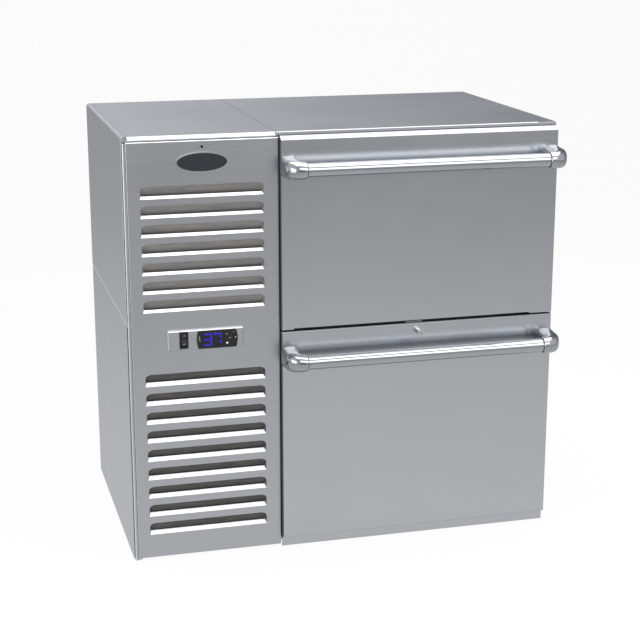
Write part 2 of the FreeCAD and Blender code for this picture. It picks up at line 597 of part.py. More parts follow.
def slides():
    y0, y1 = SLIDE_Y0, SLIDE_Y0 + SLIDE_L
    middle_of_room = (ROOM_X0 + ROOM_X1) / 2
    half = SLIDE_H / 2
    fixed = []
    for name, z in (("upper", UPPER_SLIDE_Z), ("lower", LOWER_SLIDE_Z)):
        outer = channel(ROOM_X0, ROOM_X0 + SLIDE_W - RUN, y0, y1, z, half, True)
        middle_half = half - SLIDE_T - RUN
        web = ROOM_X0 + SLIDE_T + RUN
        middle = channel(web, ROOM_X0 + SLIDE_W - 2 * RUN, y0, y1, z, middle_half, True)
        inner_half = middle_half - SLIDE_T - RUN
        inner = channel(web + SLIDE_T + RUN, ROOM_X0 + SLIDE_W, y0, y1, z, inner_half, False)
        fixed += [outer, mirrored_x(outer, middle_of_room)]
        keep(name + "_slide_middle", middle, mirrored_x(middle, middle_of_room))
        keep(name + "_slide_inner", inner, mirrored_x(inner, middle_of_room))
    keep("slides_fixed", *fixed)


# --- lock -----------------------------------------------------------------------------------------
def lock():
    """Key cylinder, turning plug, bolt and the keeper between the drawers; gives their pocket."""
    face = DRAWER_FACE_Y
    case_w, case_t, case_h = LOCK_CASE
    y0 = face + LOCK_CASE_GAP
    y1 = y0 + case_t
    x0, x1 = LOCK_X - case_w / 2, LOCK_X + case_w / 2
    z1 = LOWER_Z1 - SHEET - SEAT
    z0 = z1 - case_h
    barrel = rod(LOCK_X, face - LOCK_PROUD, LOCK_Z, LOCK_R, LOCK_PROUD + LOCK_CASE_GAP, (0, 1, 0))
    rose = rod(LOCK_X, face - 1.5, LOCK_Z, LOCK_R + 1.6, 1.5, (0, 1, 0))
    case = box(x0, x1, y0, y1, z0, z1)
    plug_bore = rod(LOCK_X, face - LOCK_PROUD - 1, LOCK_Z, LOCK_PLUG_R + SHAFT_FIT, LOCK_PROUD + 10, (0, 1, 0))
    by0 = (y0 + y1) / 2 - BOLT_T / 2
    shaft = box(LOCK_X - BOLT_W / 2 - RUN, LOCK_X + BOLT_W / 2 + RUN, by0 - RUN, by0 + BOLT_T + RUN,
                z1 - BOLT_L - RUN, z1 + 1)
    body = barrel.fuse(rose).fuse(case).cut(plug_bore).cut(shaft)
    keep("lock_cylinder", body.removeSplitter())
    plug = rod(LOCK_X, face - LOCK_PROUD, LOCK_Z, LOCK_PLUG_R, LOCK_PROUD + 8, (0, 1, 0))
    key_h, key_w = LOCK_KEY_SLOT
    key = box(LOCK_X - key_w / 2, LOCK_X + key_w / 2, face - LOCK_PROUD - 1, face - LOCK_PROUD + 9,
              LOCK_Z - key_h / 2, LOCK_Z + key_h / 2)
    key.rotate(vec(LOCK_X, face, LOCK_Z), vec(0, 1, 0), -35)
    keep("lock_plug", plug.cut(key))
    bolt = box(LOCK_X - BOLT_W / 2, LOCK_X + BOLT_W / 2, by0, by0 + BOLT_T, z1 - BOLT_L, z1)
    keep("lock_bolt", bolt)
    keeper_z = (LOWER_Z1 + UPPER_Z0) / 2 - KEEPER_T / 2
    plate = box(KEEPER_X0, KEEPER_X0 + KEEPER_W, KEEPER_FRONT_Y, BODY_FRONT_Y, keeper_z, keeper_z + KEEPER_T)
    slot = box(LOCK_X - BOLT_W / 2 - 1, LOCK_X + BOLT_W / 2 + 1, by0 - 1, by0 + BOLT_T + 1, keeper_z - 1,
               keeper_z + KEEPER_T + 1)
    keep("lock_keeper", plate.cut(slot))
    grow = SEAT
    pocket = box(x0 - grow, x1 + grow, y0 - grow, y1 + grow, z0 - grow, z1 + grow)
    pocket = pocket.fuse(rod(LOCK_X, face - 1, LOCK_Z, LOCK_R + 0.1, LOCK_CASE_GAP + 2, (0, 1, 0)))
    return pocket.fuse(box(LOCK_X - BOLT_W / 2 - RUN, LOCK_X + BOLT_W / 2 + RUN, by0 - RUN, by0 + BOLT_T + RUN,
                           z1 - 1, LOWER_Z1 + 1))


# --- louvred front --------------------------------------------------------------------------------
def louvre_hollow(grow, front_y):
    """Room under a hood, grown by its sheet: the slot's outline carried back to sloping faces.

    One face runs the length of the hood and comes forward upwards; the other two come forward at its ends.
    """
    y_face = GRILLE_FACE_Y
    x0, x1 = LOUVRE_X0 - grow, LOUVRE_X0 + LOUVRE_L + grow
    top = LOUVRE_H + grow
    radius = LOUVRE_END_R + grow
    back = y_face + LOUVRE_DEPTH + grow * math.hypot(LOUVRE_DEPTH, LOUVRE_H) / LOUVRE_H
    rise = (back - y_face) * LOUVRE_H / LOUVRE_DEPTH
    slot = prism([(x0, 0), (x1, 0), (x1, top), (x0, top)], [0, 0, radius, radius], "y", front_y, back)
    side = [(front_y - 1, 0), (back, 0), (y_face, rise), (front_y - 1, rise)]
    run = LOUVRE_END_RUN + grow
    turn = LOUVRE_END_TURN_R - grow
    plan = [(x0, front_y - 1), (x0, y_face), (x0 + run, back), (x1 - run, back), (x1, y_face), (x1, front_y - 1)]
    ends = prism(plan, [0, 0, turn, turn, 0, 0], "z", -1, rise + 1)
    return slot.common(prism(side, [0, 0, 0, 0], "x", x0 - 1, x1 + 1)).common(ends)


def louvre(lip):
    """One hood with its turned lower lip, and the cutter that opens its slot; slot bottom at z = 0."""
    back = GRILLE_FACE_Y + LOUVRE_T
    inner = louvre_hollow(0, GRILLE_FACE_Y - 4)
    outer = louvre_hollow(LOUVRE_T, back - 0.4)
    hood = outer.cut(inner)
    depth, height = lip
    y0 = GRILLE_FACE_Y + 0.2
    t = LOUVRE_T
    points = [(y0, 0), (y0 + depth, height), (y0 + depth + t, height), (y0 + depth + t, height - t)]
    points += [(back + 0.6, -t), (y0, -t)]
    turned = prism(points, [0.3, 0.4, 0, 0, 0, 0], "x", LOUVRE_X0, LOUVRE_X0 + LOUVRE_L)
    return inner, hood, turned.common(outer.fuse(box(0, WIDTH, -20, back, -5, 40)))


def grille_panel():
    y0, y1 = GRILLE_FACE_Y, GRILLE_FACE_Y + GRILLE_RETURN
    x0, x1, z0, z1 = GRILLE_X0, GRILLE_X1, GRILLE_Z0, GRILLE_Z1

    def pan(inset, back):
        flat = [(y0 + inset, z0 + inset), (back, z0 + inset), (back, z1 - inset), (y0 + inset, z1 - inset)]
        edge_r = max(GRILLE_EDGE_R - inset, 0.3)
        side_r = max(GRILLE_SIDE_R - inset, 0.3)
        block = prism(flat, [edge_r, 0, 0, edge_r], "x", x0 + inset, x1 - inset)
        plan = [(x0 + inset, y0 + inset), (x1 - inset, y0 + inset), (x1 - inset, back), (x0 + inset, back)]
        return block.common(prism(plan, [side_r, side_r, 0, 0], "z", z0, z1))

    panel = pan(0, y1).cut(pan(LOUVRE_T, y1 + 1))
    adders = []
    cutters = []
    groups = (
        (TOP_GROUP_Z, TOP_GROUP_PITCH, TOP_GROUP_COUNT, TOP_GROUP_LIP),
        (BOTTOM_GROUP_Z, BOTTOM_GROUP_PITCH, BOTTOM_GROUP_COUNT, BOTTOM_GROUP_LIP),
    )
    for first, pitch, count, lip in groups:
        cutter, hood, turned = louvre(lip)
        for i in range(count):
            shift = vec(0, 0, first - i * pitch)
            cutters.append(cutter.translated(shift))
            adders += [hood.translated(shift), turned.translated(shift)]
    panel = panel.cut(Part.makeCompound(cutters))
    panel = panel.multiFuse(adders)
    window = box(PLATE_X0 + 10, PLATE_X1 - 10, y0 - 1, y1 + 1, PLATE_Z0 + 2.4, PLATE_Z1 - 2.4)
    x, drop, radius, proud = GRILLE_SCREW
    z = HEIGHT - drop
    panel = panel.cut(window).cut(rod(x, y0 - 1, z, 1.6, 8, (0, 1, 0)))
    keep("grille_panel", panel.removeSplitter())
    head = rod(x, y0 - proud, z, radius, proud, (0, 1, 0))
    shank = rod(x, y0, z, 1.5, 8, (0, 1, 0))
    cross = box(x - 1.8, x + 1.8, y0 - proud - 1, y0 - proud + 0.7, z - 0.4, z + 0.4)
    cross = cross.fuse(box(x - 0.4, x + 0.4, y0 - proud - 1, y0 - proud + 0.7, z - 1.8, z + 1.8))
    keep("grille_screw", head.fuse(shank).cut(cross).removeSplitter())


def badge_plate():
    x, drop, a, b, proud = BADGE
    z = HEIGHT - drop
    y1 = GRILLE_FACE_Y

    def oval(half_w, half_h, y, depth):
        ellipse = Part.Ellipse(vec(0, 0, 0), half_w, half_h).toShape()
        face = Part.Face(Part.Wire([ellipse]))
        face.rotate(vec(0, 0, 0), vec(1, 0, 0), 90)
        face.translate(vec(x, y, z))
        solid = face.extrude(vec(0, depth, 0))
        return solid

    rim = 2.2
    plate = oval(a, b, y1 - proud, proud).cut(oval(a - rim, b - rim, y1 - proud - 1, 1.7))
    keep("badge_plate", plate)


# --- controls -------------------------------------------------------------------------------------
def control_plate():
    y0, y1 = PLATE_FACE_Y, GRILLE_FACE_Y
    outer = rounded_plate(PLATE_X0, PLATE_X1, PLATE_Z0, PLATE_Z1, PLATE_R, y0, y1)
    rims = [e for e in outer.Edges if all(abs(v.Point.y - y0) < 1e-6 for v in e.Vertexes)]
    outer = outer.makeFillet(PLATE_EDGE_R, rims)
    t = SHEET
    inner = rounded_plate(PLATE_X0 + t, PLATE_X1 - t, PLATE_Z0 + t, PLATE_Z1 - t, PLATE_R - t / 2, y0 + t, y1 + 1)
    plate = outer.cut(inner)
    w, h, _ = SWITCH_BODY
    plate = plate.cut(box(SWITCH_X - w / 2 - SEAT, SWITCH_X + w / 2 + SEAT, y0 - 1, y0 + 3,
                          SWITCH_Z - h / 2 - SEAT, SWITCH_Z + h / 2 + SEAT))
    w, h, _ = CONTROL_BODY
    plate = plate.cut(box(CONTROL_X - w / 2 - SEAT, CONTROL_X + w / 2 + SEAT, y0 - 1, y0 + 3,
                          CONTROL_Z - h / 2 - SEAT, CONTROL_Z + h / 2 + SEAT))
    keep("control_plate", plate)


def rocker_switch():
    y0 = PLATE_FACE_Y
    w, h = SWITCH_BEZEL
    bw, bh, bd = SWITCH_BODY
    bezel = rounded_plate(SWITCH_X - w / 2, SWITCH_X + w / 2, SWITCH_Z - h / 2, SWITCH_Z + h / 2, 1.6,
                          y0 - SWITCH_PROUD, y0)
    case = box(SWITCH_X - bw / 2, SWITCH_X + bw / 2, y0, y0 + bd, SWITCH_Z - bh / 2, SWITCH_Z + bh / 2)
    well = box(SWITCH_X - ROCKER_W / 2 - RUN, SWITCH_X + ROCKER_W / 2 + RUN, y0 - SWITCH_PROUD - 1, y0 + 13,
               SWITCH_Z - ROCKER_H / 2 - 1.2, SWITCH_Z + ROCKER_H / 2 + 1.2)
    pivot_y = y0 + 5.0
    pin_hole = rod(SWITCH_X - ROCKER_W / 2 - 1.5, pivot_y, SWITCH_Z, ROCKER_PIN_R + SHAFT_FIT, ROCKER_W + 3,
                   (1, 0, 0))
    keep("switch_housing", bezel.fuse(case).cut(well).cut(pin_hole).removeSplitter())
    half = ROCKER_H / 2
    front = y0 - SWITCH_PROUD
    rise = half * math.tan(math.radians(ROCKER_TILT))
    points = [(front - 0.4, SWITCH_Z), (front - 0.4 - rise, SWITCH_Z + half), (pivot_y - 2, SWITCH_Z + half)]
    points += [(pivot_y + 2.2, SWITCH_Z + 3), (pivot_y + 2.2, SWITCH_Z - 3), (pivot_y - 2, SWITCH_Z - half)]
    points += [(front - 0.4 - rise, SWITCH_Z - half)]
    radii = [9, 1.0, 1, 1, 1, 1, 1.0]
    rocker = prism(points, radii, "x", SWITCH_X - ROCKER_W / 2, SWITCH_X + ROCKER_W / 2)
    pin = rod(SWITCH_X - ROCKER_W / 2 - 1.3, pivot_y, SWITCH_Z, ROCKER_PIN_R, ROCKER_W + 2.6, (1, 0, 0))
    rocker = rocker.fuse(pin).removeSplitter()
    rocker.rotate(vec(SWITCH_X, pivot_y, SWITCH_Z), vec(1, 0, 0), -ROCKER_TILT)
    keep("switch_rocker", rocker)


def controller():
    y0 = PLATE_FACE_Y - CONTROL_PROUD
    w, h = CONTROL_FACE
    x, z = CONTROL_X, CONTROL_Z
    a, b = w / 2 - CONTROL_BULGE, h / 2

    def corner(sx, sz, y):
        return vec(x + sx * a, y, z + sz * b)

    def face_outline(y):
        right = Part.Arc(corner(1, -1, y), vec(x + w / 2, y, z), corner(1, 1, y)).toShape()
        left = Part.Arc(corner(-1, 1, y), vec(x - w / 2, y, z), corner(-1, -1, y)).toShape()
        top = Part.LineSegment(corner(1, 1, y), corner(-1, 1, y)).toShape()
        bottom = Part.LineSegment(corner(-1, -1, y), corner(1, -1, y)).toShape()
        return Part.Face(Part.Wire([bottom, right, top, left]))

    bezel = face_outline(y0).extrude(vec(0, CONTROL_PROUD, 0))
    front_edges = [e for e in bezel.Edges if all(abs(v.Point.y - y0) < 1e-6 for v in e.Vertexes)]
    bezel = bezel.makeFillet(1.0, front_edges)
    bw, bh, bd = CONTROL_BODY
    case = box(x - bw / 2, x + bw / 2, y0 + CONTROL_PROUD, y0 + CONTROL_PROUD + bd, z - bh / 2, z + bh / 2)
    body = bezel.fuse(case)
    lx, lz, lw, lh = LENS
    window = rounded_plate(x + lx - lw / 2, x + lx + lw / 2, z + lz - lh / 2, z + lz + lh / 2, 1.5,
                           y0 - 1, y0 + LENS_T)
    body = body.cut(window)
    for name, (bx, bz) in BUTTON_PLACES.items():
        hole = rod(x + bx, y0 - 1, z + bz, BUTTON_R + 0.1, 1 + BUTTON_L - BUTTON_PROUD + BUTTON_TRAVEL + 0.2,
                   (0, 1, 0))
        body = body.cut(hole)
        cap = rod(x + bx, y0 - BUTTON_PROUD, z + bz, BUTTON_R, BUTTON_L, (0, 1, 0))
        keep(name, cap)
    keep("controller_housing", body.removeSplitter())
    fit = 0.1
    lens = rounded_plate(x + lx - lw / 2 + fit, x + lx + lw / 2 - fit, z + lz - lh / 2 + fit, z + lz + lh / 2 - fit,
                         1.4, y0 + 0.2, y0 + LENS_T)
    keep("display_lens", lens)


# --- refrigeration --------------------------------------------------------------------------------
def fan_wheel(radius, hub_r, width, count, twist, bore_r):
    """Axial fan about +Z with its middle at z = 0."""
    hub = rod(0, 0, -width / 2, hub_r, width, (0, 0, 1))
    wheel = hub
    span = radius - hub_r + 4
    chord = 2 * math.pi * (radius + hub_r) / 2 / count * 0.72
    for i in range(count):
        blade = box(hub_r - 4, hub_r - 4 + span, -chord / 2, chord / 2, -0.8, 0.8)
        blade.rotate(vec(0, 0, 0), vec(1, 0, 0), twist)
        blade.rotate(vec(0, 0, 0), vec(0, 0, 1), 360 * i / count)
        wheel = wheel.fuse(blade)
    rim = rod(0, 0, -width / 2, radius, width, (0, 0, 1))
    bore = rod(0, 0, -width / 2 - 1, bore_r, width + 2, (0, 0, 1))
    return wheel.common(rim).cut(bore).removeSplitter()


def turned_to_y(shape, x, y, z):
    shape.rotate(vec(0, 0, 0), vec(1, 0, 0), 90)
    shape.translate(vec(x, y, z))
    return shape


def condensing_unit():
    tray_plate = box(UNIT_X0, UNIT_X1, UNIT_Y0, UNIT_Y1, BASE_H, UNIT_Z)
    flange = box(UNIT_X0, UNIT_X0 + UNIT_T, UNIT_Y0, UNIT_Y1, BASE_H, UNIT_Z + 18)
    keep("unit_base", tray_plate.fuse(flange).fuse(mirrored_x(flange, (UNIT_X0 + UNIT_X1) / 2)).removeSplitter())

    z0, z1 = UNIT_Z, UNIT_Z + COIL_H
    y0, y1 = COIL_Y0, COIL_Y0 + COIL_T
    core = box(COIL_X0 + 2, COIL_X1 - 2, y0 + 1, y1 - 1, z0 + 2, z1 - 2)
    pitch = (COIL_X1 - COIL_X0 - 20) / COIL_FINS
    for i in range(COIL_FINS):
        x = COIL_X0 + 10 + i * pitch
        core = core.cut(box(x, x + pitch * 0.45, y0, y0 + 7, z0 + 10, z1 - 10))
    coil = core
    for x in (COIL_X0, COIL_X1 - 2):
        coil = coil.fuse(box(x, x + 2, y0, y1, z0, z1))
    for row in range(COIL_RETURNS):
        z = z0 + COIL_RETURN_GAP + row * (COIL_H - 2 * COIL_RETURN_GAP - 20) / (COIL_RETURNS - 1)
        ring = Part.makeTorus(12.5, LINE_R, vec(COIL_X1 - 1, (y0 + y1) / 2, z + 12.5), vec(0, 1, 0), -180, 180, 180)
        half = ring.common(box(COIL_X1 - 0.5, COIL_X1 + 30, y0, y1, z - 10, z + 40))
        coil = coil.fuse(half)
    keep("condenser_coil", coil.removeSplitter())

    sy0, sy1 = y1, y1 + SHROUD_DEPTH
    hood = box(COIL_X0, COIL_X1, sy0, sy1, z0, z1)
    inner = box(COIL_X0 + SHROUD_T, COIL_X1 - SHROUD_T, sy0 - 1, sy1 - SHROUD_T, z0 + SHROUD_T, z1 - SHROUD_T)
    mouth = rod(FAN_X, sy0, FAN_Z, FAN_R + FAN_TIP_GAP, 80, (0, 1, 0))
    ring = rod(FAN_X, sy1 - SHROUD_T, FAN_Z, FAN_R + FAN_TIP_GAP + SHROUD_T, 14, (0, 1, 0))
    shroud = hood.cut(inner).fuse(ring).cut(mouth)
    keep("condenser_shroud", shroud.removeSplitter())

    wheel = fan_wheel(FAN_R, FAN_HUB_R, FAN_W, FAN_BLADES, 32, SHAFT_R + SHAFT_FIT)
    keep("condenser_fan", turned_to_y(wheel, FAN_X, FAN_Y, FAN_Z))

    my0 = FAN_Y + FAN_W / 2 + 6
    motor = rod(FAN_X, my0, FAN_Z, MOTOR_R, MOTOR_L, (0, 1, 0))
    caps = [e for e in motor.Edges if e.Length > 2 * MOTOR_R]
    motor = motor.makeFillet(6, [e for e in caps if isinstance(e.Curve, Part.Circle)])
    shaft = rod(FAN_X, FAN_Y - FAN_W / 2 - 3, FAN_Z, SHAFT_R, my0 + 4 - (FAN_Y - FAN_W / 2 - 3), (0, 1, 0))
    motor = motor.fuse(shaft)
    reach = FAN_R + FAN_TIP_GAP + 9
    arm_y = sy1
    plate_y = my0 + MOTOR_L
    for side in (-1, 1):
        x = FAN_X + side * (reach - 4)
        leg = box(min(x, x + side * 2), max(x, x + side * 2), arm_y, plate_y + 2, FAN_Z - 12, FAN_Z + 12)
        foot = box(min(x, x + side * 2) if side > 0 else x - 6, x + 6 if side > 0 else x, arm_y, arm_y + 2,
                   FAN_Z - 12, FAN_Z + 12)
        motor = motor.fuse(leg).fuse(foot)
    bridge = box(FAN_X - reach + 4, FAN_X + reach - 4, plate_y, plate_y + 2, FAN_Z - 12, FAN_Z + 12)
    keep("condenser_fan_motor", motor.fuse(bridge).removeSplitter())


def compressor():
    x, y, z = COMPRESSOR_X, COMPRESSOR_Y, UNIT_Z + 12
    r, h = COMPRESSOR_R, COMPRESSOR_H
    seam = h * 0.55
    profile = [(0, 0), (r - 18, 0), (r, 26), (r, seam - 4), (r + 4, seam - 4), (r + 4, seam + 4), (r, seam + 4)]
    profile += [(r - 2, h - 52), (r - 34, h - 8), (0, h)]
    radii = [0, 16, 18, 0, 0.8, 0.8, 0, 26, 22, 0]
    entries = outline(profile, radii)
    edges = []
    for i, (begin, middle, end) in enumerate(entries):
        if middle is not None:
            edges.append(Part.Arc(vec(begin[0], 0, begin[1]), vec(middle[0], 0, middle[1]),
                                  vec(end[0], 0, end[1])).toShape())
        nxt = entries[(i + 1) % len(entries)][0]
        if math.dist(end, nxt) > 1e-6:
            edges.append(Part.LineSegment(vec(end[0], 0, end[1]), vec(nxt[0], 0, nxt[1])).toShape())
    can = Part.Face(Part.Wire(Part.__sortEdges__(edges))).revolve(vec(0, 0, 0), vec(0, 0, 1), 360)
    can.translate(vec(x, y, z))
    plate = rounded_block(x - FOOT_PITCH / 2 - 14, x + FOOT_PITCH / 2 + 14, y - 55, y + 55, z - 3, z + 0.5, 12)
    shell = can.fuse(plate)
    width, height, low, proud = TERMINALS
    cover = rounded_plate(x - width / 2, x + width / 2, z + low, z + low + height, 6, y - r - proud, y - r + 12)
    shell = shell.fuse(cover)
    feet = []
    for sx in (-1, 1):
        for sy in (-1, 1):
            fx, fy = x + sx * FOOT_PITCH / 2, y + sy * 42
            feet.append(rod(fx, fy, UNIT_Z, FOOT_R, z - 3 - UNIT_Z, (0, 0, 1)))
    keep("compressor", shell.removeSplitter(), *feet)


def bent_line(points, radius, bend):
    """Round line through points, with a tangent arc of radius bend at each inner point."""
    def step(a, b):
        d = vec(*b) - vec(*a)
        return d.normalize()

    edges = []
    cursor = vec(*points[0])
    for i in range(1, len(points) - 1):
        corner = vec(*points[i])
        before = step(points[i - 1], points[i])
        after = step(points[i], points[i + 1])
        turn = before.getAngle(after)
        cut = bend * math.tan(turn / 2)
        start = corner - before * cut
        end = corner + after * cut
        inward = (after - before).normalize()
        middle = corner + inward * (bend / math.cos(turn / 2) - bend)
        edges.append(Part.LineSegment(cursor, start).toShape())
        edges.append(Part.Arc(start, middle, end).toShape())
        cursor = end
    edges.append(Part.LineSegment(cursor, vec(*points[-1])).toShape())
    path = Part.Wire(edges)
    section = Part.Wire(Part.makeCircle(radius, vec(*points[0]), step(points[0], points[1])))
    return path.makePipeShell([section], True, True)


def refrigerant_lines():
    """Discharge line, suction line and filter drier, trimmed where they meet the compressor."""
    x, y, r = COMPRESSOR_X, COMPRESSOR_Y, COMPRESSOR_R
    shell = nodes["compressor"][0]
    top = UNIT_Z + 12 + COMPRESSOR_H * 0.62
    coil_x = COIL_X1 - 22
    coil_top = UNIT_Z + COIL_H
    over = coil_top + LINE_RISE
    coil_y = COIL_Y0 + COIL_T / 2
    run_x = x + r + 34
    discharge = bent_line(
        [(x + r - 6, y, top), (run_x, y, top), (run_x, y, over), (run_x, coil_y, over), (coil_x, coil_y, over),
         (coil_x, coil_y, coil_top)], LINE_R, 16)
    shell_top = UNIT_Z + 12 + COMPRESSOR_H
    suction_z = shell_top + SUCTION_RISE
    suction = bent_line(
        [(x - 30, y, shell_top - 12), (x - 30, y, suction_z), (x - 30, y + 90, suction_z),
         (BODY_X0, y + 90, suction_z)], SUCTION_R, 20)
    z = UNIT_Z + DRIER_R + 2
    drier = rod(DRIER_X, DRIER_Y, z, DRIER_R, DRIER_L, (0, 1, 0))
    drier = drier.makeFillet(8, [e for e in drier.Edges if isinstance(e.Curve, Part.Circle)])
    middle = DRIER_Y + DRIER_L / 2
    saddle = box(DRIER_X - 9, DRIER_X + 9, middle - 8, middle + 8, UNIT_Z, z)
    stubs = rod(DRIER_X, DRIER_Y - 16, z, 3.2, DRIER_L + 32, (0, 1, 0))
    drier = drier.fuse([saddle, stubs]).removeSplitter()
    keep("refrigerant_lines", discharge.cut(shell), suction.cut(shell), drier)


def electrical_box():
    x0, width, z0, height, depth = ELEC
    x1, z1, y1 = x0 + width, z0 + height, BODY_DEPTH - SHEET
    y0 = y1 - depth
    body = rounded_plate(x0, x1, z0, z1, 6, y0, y1)
    knock = rod(x0 + 40, y0 + 25, z0 - 6, 9, 8, (0, 0, 1))
    lid_line = rounded_plate(x0 - 1, x1 + 1, z0 - 1, z1 + 1, 6, y0 + 8, y0 + 9)
    lid_keep = rounded_plate(x0 + 1.5, x1 - 1.5, z0 + 1.5, z1 - 1.5, 5, y0 + 7, y0 + 10)
    keep("electrical_box", body.cut(lid_line.cut(lid_keep)).fuse(knock).removeSplitter())


def condensate_pan():
    y1 = UNIT_Y1 - PAN_BACK
    y0 = y1 - PAN_DEPTH
    z0, z1 = UNIT_Z, UNIT_Z + PAN_H
    outer = rounded_block(PAN_X0, PAN_X1, y0, y1, z0, z1, 10)
    inner = rounded_block(PAN_X0 + PAN_T, PAN_X1 - PAN_T, y0 + PAN_T, y1 - PAN_T, z0 + PAN_T, z1 + 1, 10 - PAN_T)
    keep("condensate_pan", outer.cut(inner))


def evaporator():
    x0, x1, y0, y1 = EVAP_X0, EVAP_X1, EVAP_Y0, EVAP_Y1
    z0, z1 = EVAP_Z0, ROOM_Z1
    t = LINER_T
    profile = [(y0, z1), (y0, z0 + 14), (y0 + 14, z0), (y1, z0), (y1, z1)]
    profile += [(y1 - t, z1), (y1 - t, z0 + t), (y0 + 14.4, z0 + t), (y0 + t, z0 + 14.4), (y0 + t, z1)]
    cover = prism(profile, [0] * 10, "x", x0, x1)
    inner = [(y0 + t, z1), (y0 + t, z0 + 14.4), (y0 + 14.4, z0 + t), (y1 - t, z0 + t), (y1 - t, z1)]
    for x in (x0, x1 - t):
        cover = cover.fuse(prism(inner, [0] * 5, "x", x, x + t))
    cover = cover.cut(rod(EVAP_X, EVAP_FAN_Y, z0 - 1, EVAP_FAN_R + 3, 5, (0, 0, 1)))
    for i in range(7):
        x = x0 + 40 + i * (x1 - x0 - 80 - 18) / 6
        cover = cover.cut(box(x, x + 18, y1 - 5, y1 + 1, z0 + 20, z1 - 16))
    cover = cover.removeSplitter()
    cy1 = y1 - EVAP_COIL_BACK
    cy0 = cy1 - EVAP_COIL_T
    coil = box(x0 + 20, x1 - 20, cy0, cy1, z0 + 10, z1)
    for i in range(16):
        x = x0 + 30 + i * (x1 - x0 - 70) / 16
        coil = coil.cut(box(x, x + 9, cy0 - 1, cy0 + 6, z0 + 14, z1 - 4))
    keep("evaporator_unit", cover, coil)
    motor_z = z0 + 34
    motor = rod(EVAP_X, EVAP_FAN_Y, motor_z, 28, z1 - motor_z, (0, 0, 1))
    shaft = rod(EVAP_X, EVAP_FAN_Y, z0 + 6, SHAFT_R, motor_z + 4 - z0 - 6, (0, 0, 1))
    keep("evaporator_fan_motor", motor.fuse(shaft).removeSplitter())
    wheel = fan_wheel(EVAP_FAN_R, EVAP_HUB_R, EVAP_FAN_W, 5, 28, SHAFT_R + SHAFT_FIT)
    wheel.translate(vec(EVAP_X, EVAP_FAN_Y, z0 + 8 + EVAP_FAN_W / 2))
    keep("evaporator_fan", wheel)


def build():
    base_frame()
    kick_plate()
    corner_post()
    side_panels_left()
    side_panel_right()
    top_panels()
    back_panel()
    insulated_body()
    pocket = lock()
    drawer_front("upper", UPPER_Z0, UPPER_Z1, UPPER_TOP_R, True, None)
    drawer_front("lower", LOWER_Z0, LOWER_Z1, LOWER_TOP_R, False, pocket)
    handle("upper", UPPER_HANDLE_Z)
    handle("lower", LOWER_HANDLE_Z)
    tray("upper", UPPER_TRAY_Z0, UPPER_TRAY_Z1)
    tray("lower", LOWER_TRAY_Z0, LOWER_TRAY_Z1)
    slides()
    grille_panel()
    badge_plate()
    control_plate()
    rocker_switch()
    controller()
    condensing_unit()
    compressor()
    refrigerant_lines()
    electrical_box()
    condensate_pan()
    evaporator()


def write():
    os.makedirs("parts", exist_ok=True)
    for name, solids in nodes.items():
        pieces = []
        for solid in solids:
            pieces += solid.Solids
        shape = pieces[0] if len(pieces) == 1 else Part.makeCompound(pieces)
        shape = shape.translated(-ORIGIN)
        if not shape.isValid():
            print("not valid:", name)
        shape.exportStep("parts/" + name + ".step")
    print(len(nodes), "nodes")


build()
write()
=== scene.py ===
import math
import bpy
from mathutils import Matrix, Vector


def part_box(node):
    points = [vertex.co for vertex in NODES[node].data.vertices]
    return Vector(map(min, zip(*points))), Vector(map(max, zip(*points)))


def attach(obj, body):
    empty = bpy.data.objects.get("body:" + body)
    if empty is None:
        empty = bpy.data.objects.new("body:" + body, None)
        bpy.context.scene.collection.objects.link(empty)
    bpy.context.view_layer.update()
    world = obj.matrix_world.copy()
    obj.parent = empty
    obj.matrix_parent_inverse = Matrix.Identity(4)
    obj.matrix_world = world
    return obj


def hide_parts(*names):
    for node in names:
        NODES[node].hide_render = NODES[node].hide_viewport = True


bl_info = {
    "name": "Undercounter Drawer Refrigerator",
    "version": (1, 0, 0),
    "blender": (4, 5, 0),
    "location": "View3D > Sidebar > Refrigerator",
    "description": "Dresses a stainless two-drawer undercounter refrigerator and sets up its studio",
    "category": "Object",
}

import bmesh
import bpy
from bpy.props import FloatProperty, FloatVectorProperty, IntProperty, PointerProperty
from mathutils import Matrix, Vector
from mathutils.bvhtree import BVHTree

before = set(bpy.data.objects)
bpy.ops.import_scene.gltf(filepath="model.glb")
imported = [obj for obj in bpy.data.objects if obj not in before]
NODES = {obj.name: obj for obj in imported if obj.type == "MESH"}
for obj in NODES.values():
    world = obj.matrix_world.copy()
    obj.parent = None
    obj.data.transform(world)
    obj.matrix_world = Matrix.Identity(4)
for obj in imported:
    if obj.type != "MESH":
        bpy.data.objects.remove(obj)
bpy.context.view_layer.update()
MM = 0.001


# --- colour and nodes -----------------------------------------------------------------------------
def linear(code):
    """Turns an sRGB hex value such as "#A0A0A0" to a linear RGBA colour."""
    channels = [int(code[i : i + 2], 16) / 255 for i in (1, 3, 5)]
    return tuple(c / 12.92 if c <= 0.04045 else ((c + 0.055) / 1.055) ** 2.4 for c in channels) + (1.0,)


def add(tree, kind, inputs=None, **settings):
    """Adds a node: settings are its properties, inputs its sockets as values or as sockets to link from."""
    node = tree.nodes.new(kind)
    for key, value in settings.items():
        setattr(node, key, value)
    for key, value in (inputs or {}).items():
        if isinstance(value, bpy.types.NodeSocket):
            tree.links.new(value, node.inputs[key])
        else:
            node.inputs[key].default_value = value
    return node


def blank(name, shade):
    """Starts a material without nodes; shade is what a plain viewport shows."""
    material = bpy.data.materials.new(name)
    material.use_nodes = True
    material.node_tree.nodes.clear()
    material.diffuse_color = linear(shade)
    return material, material.node_tree


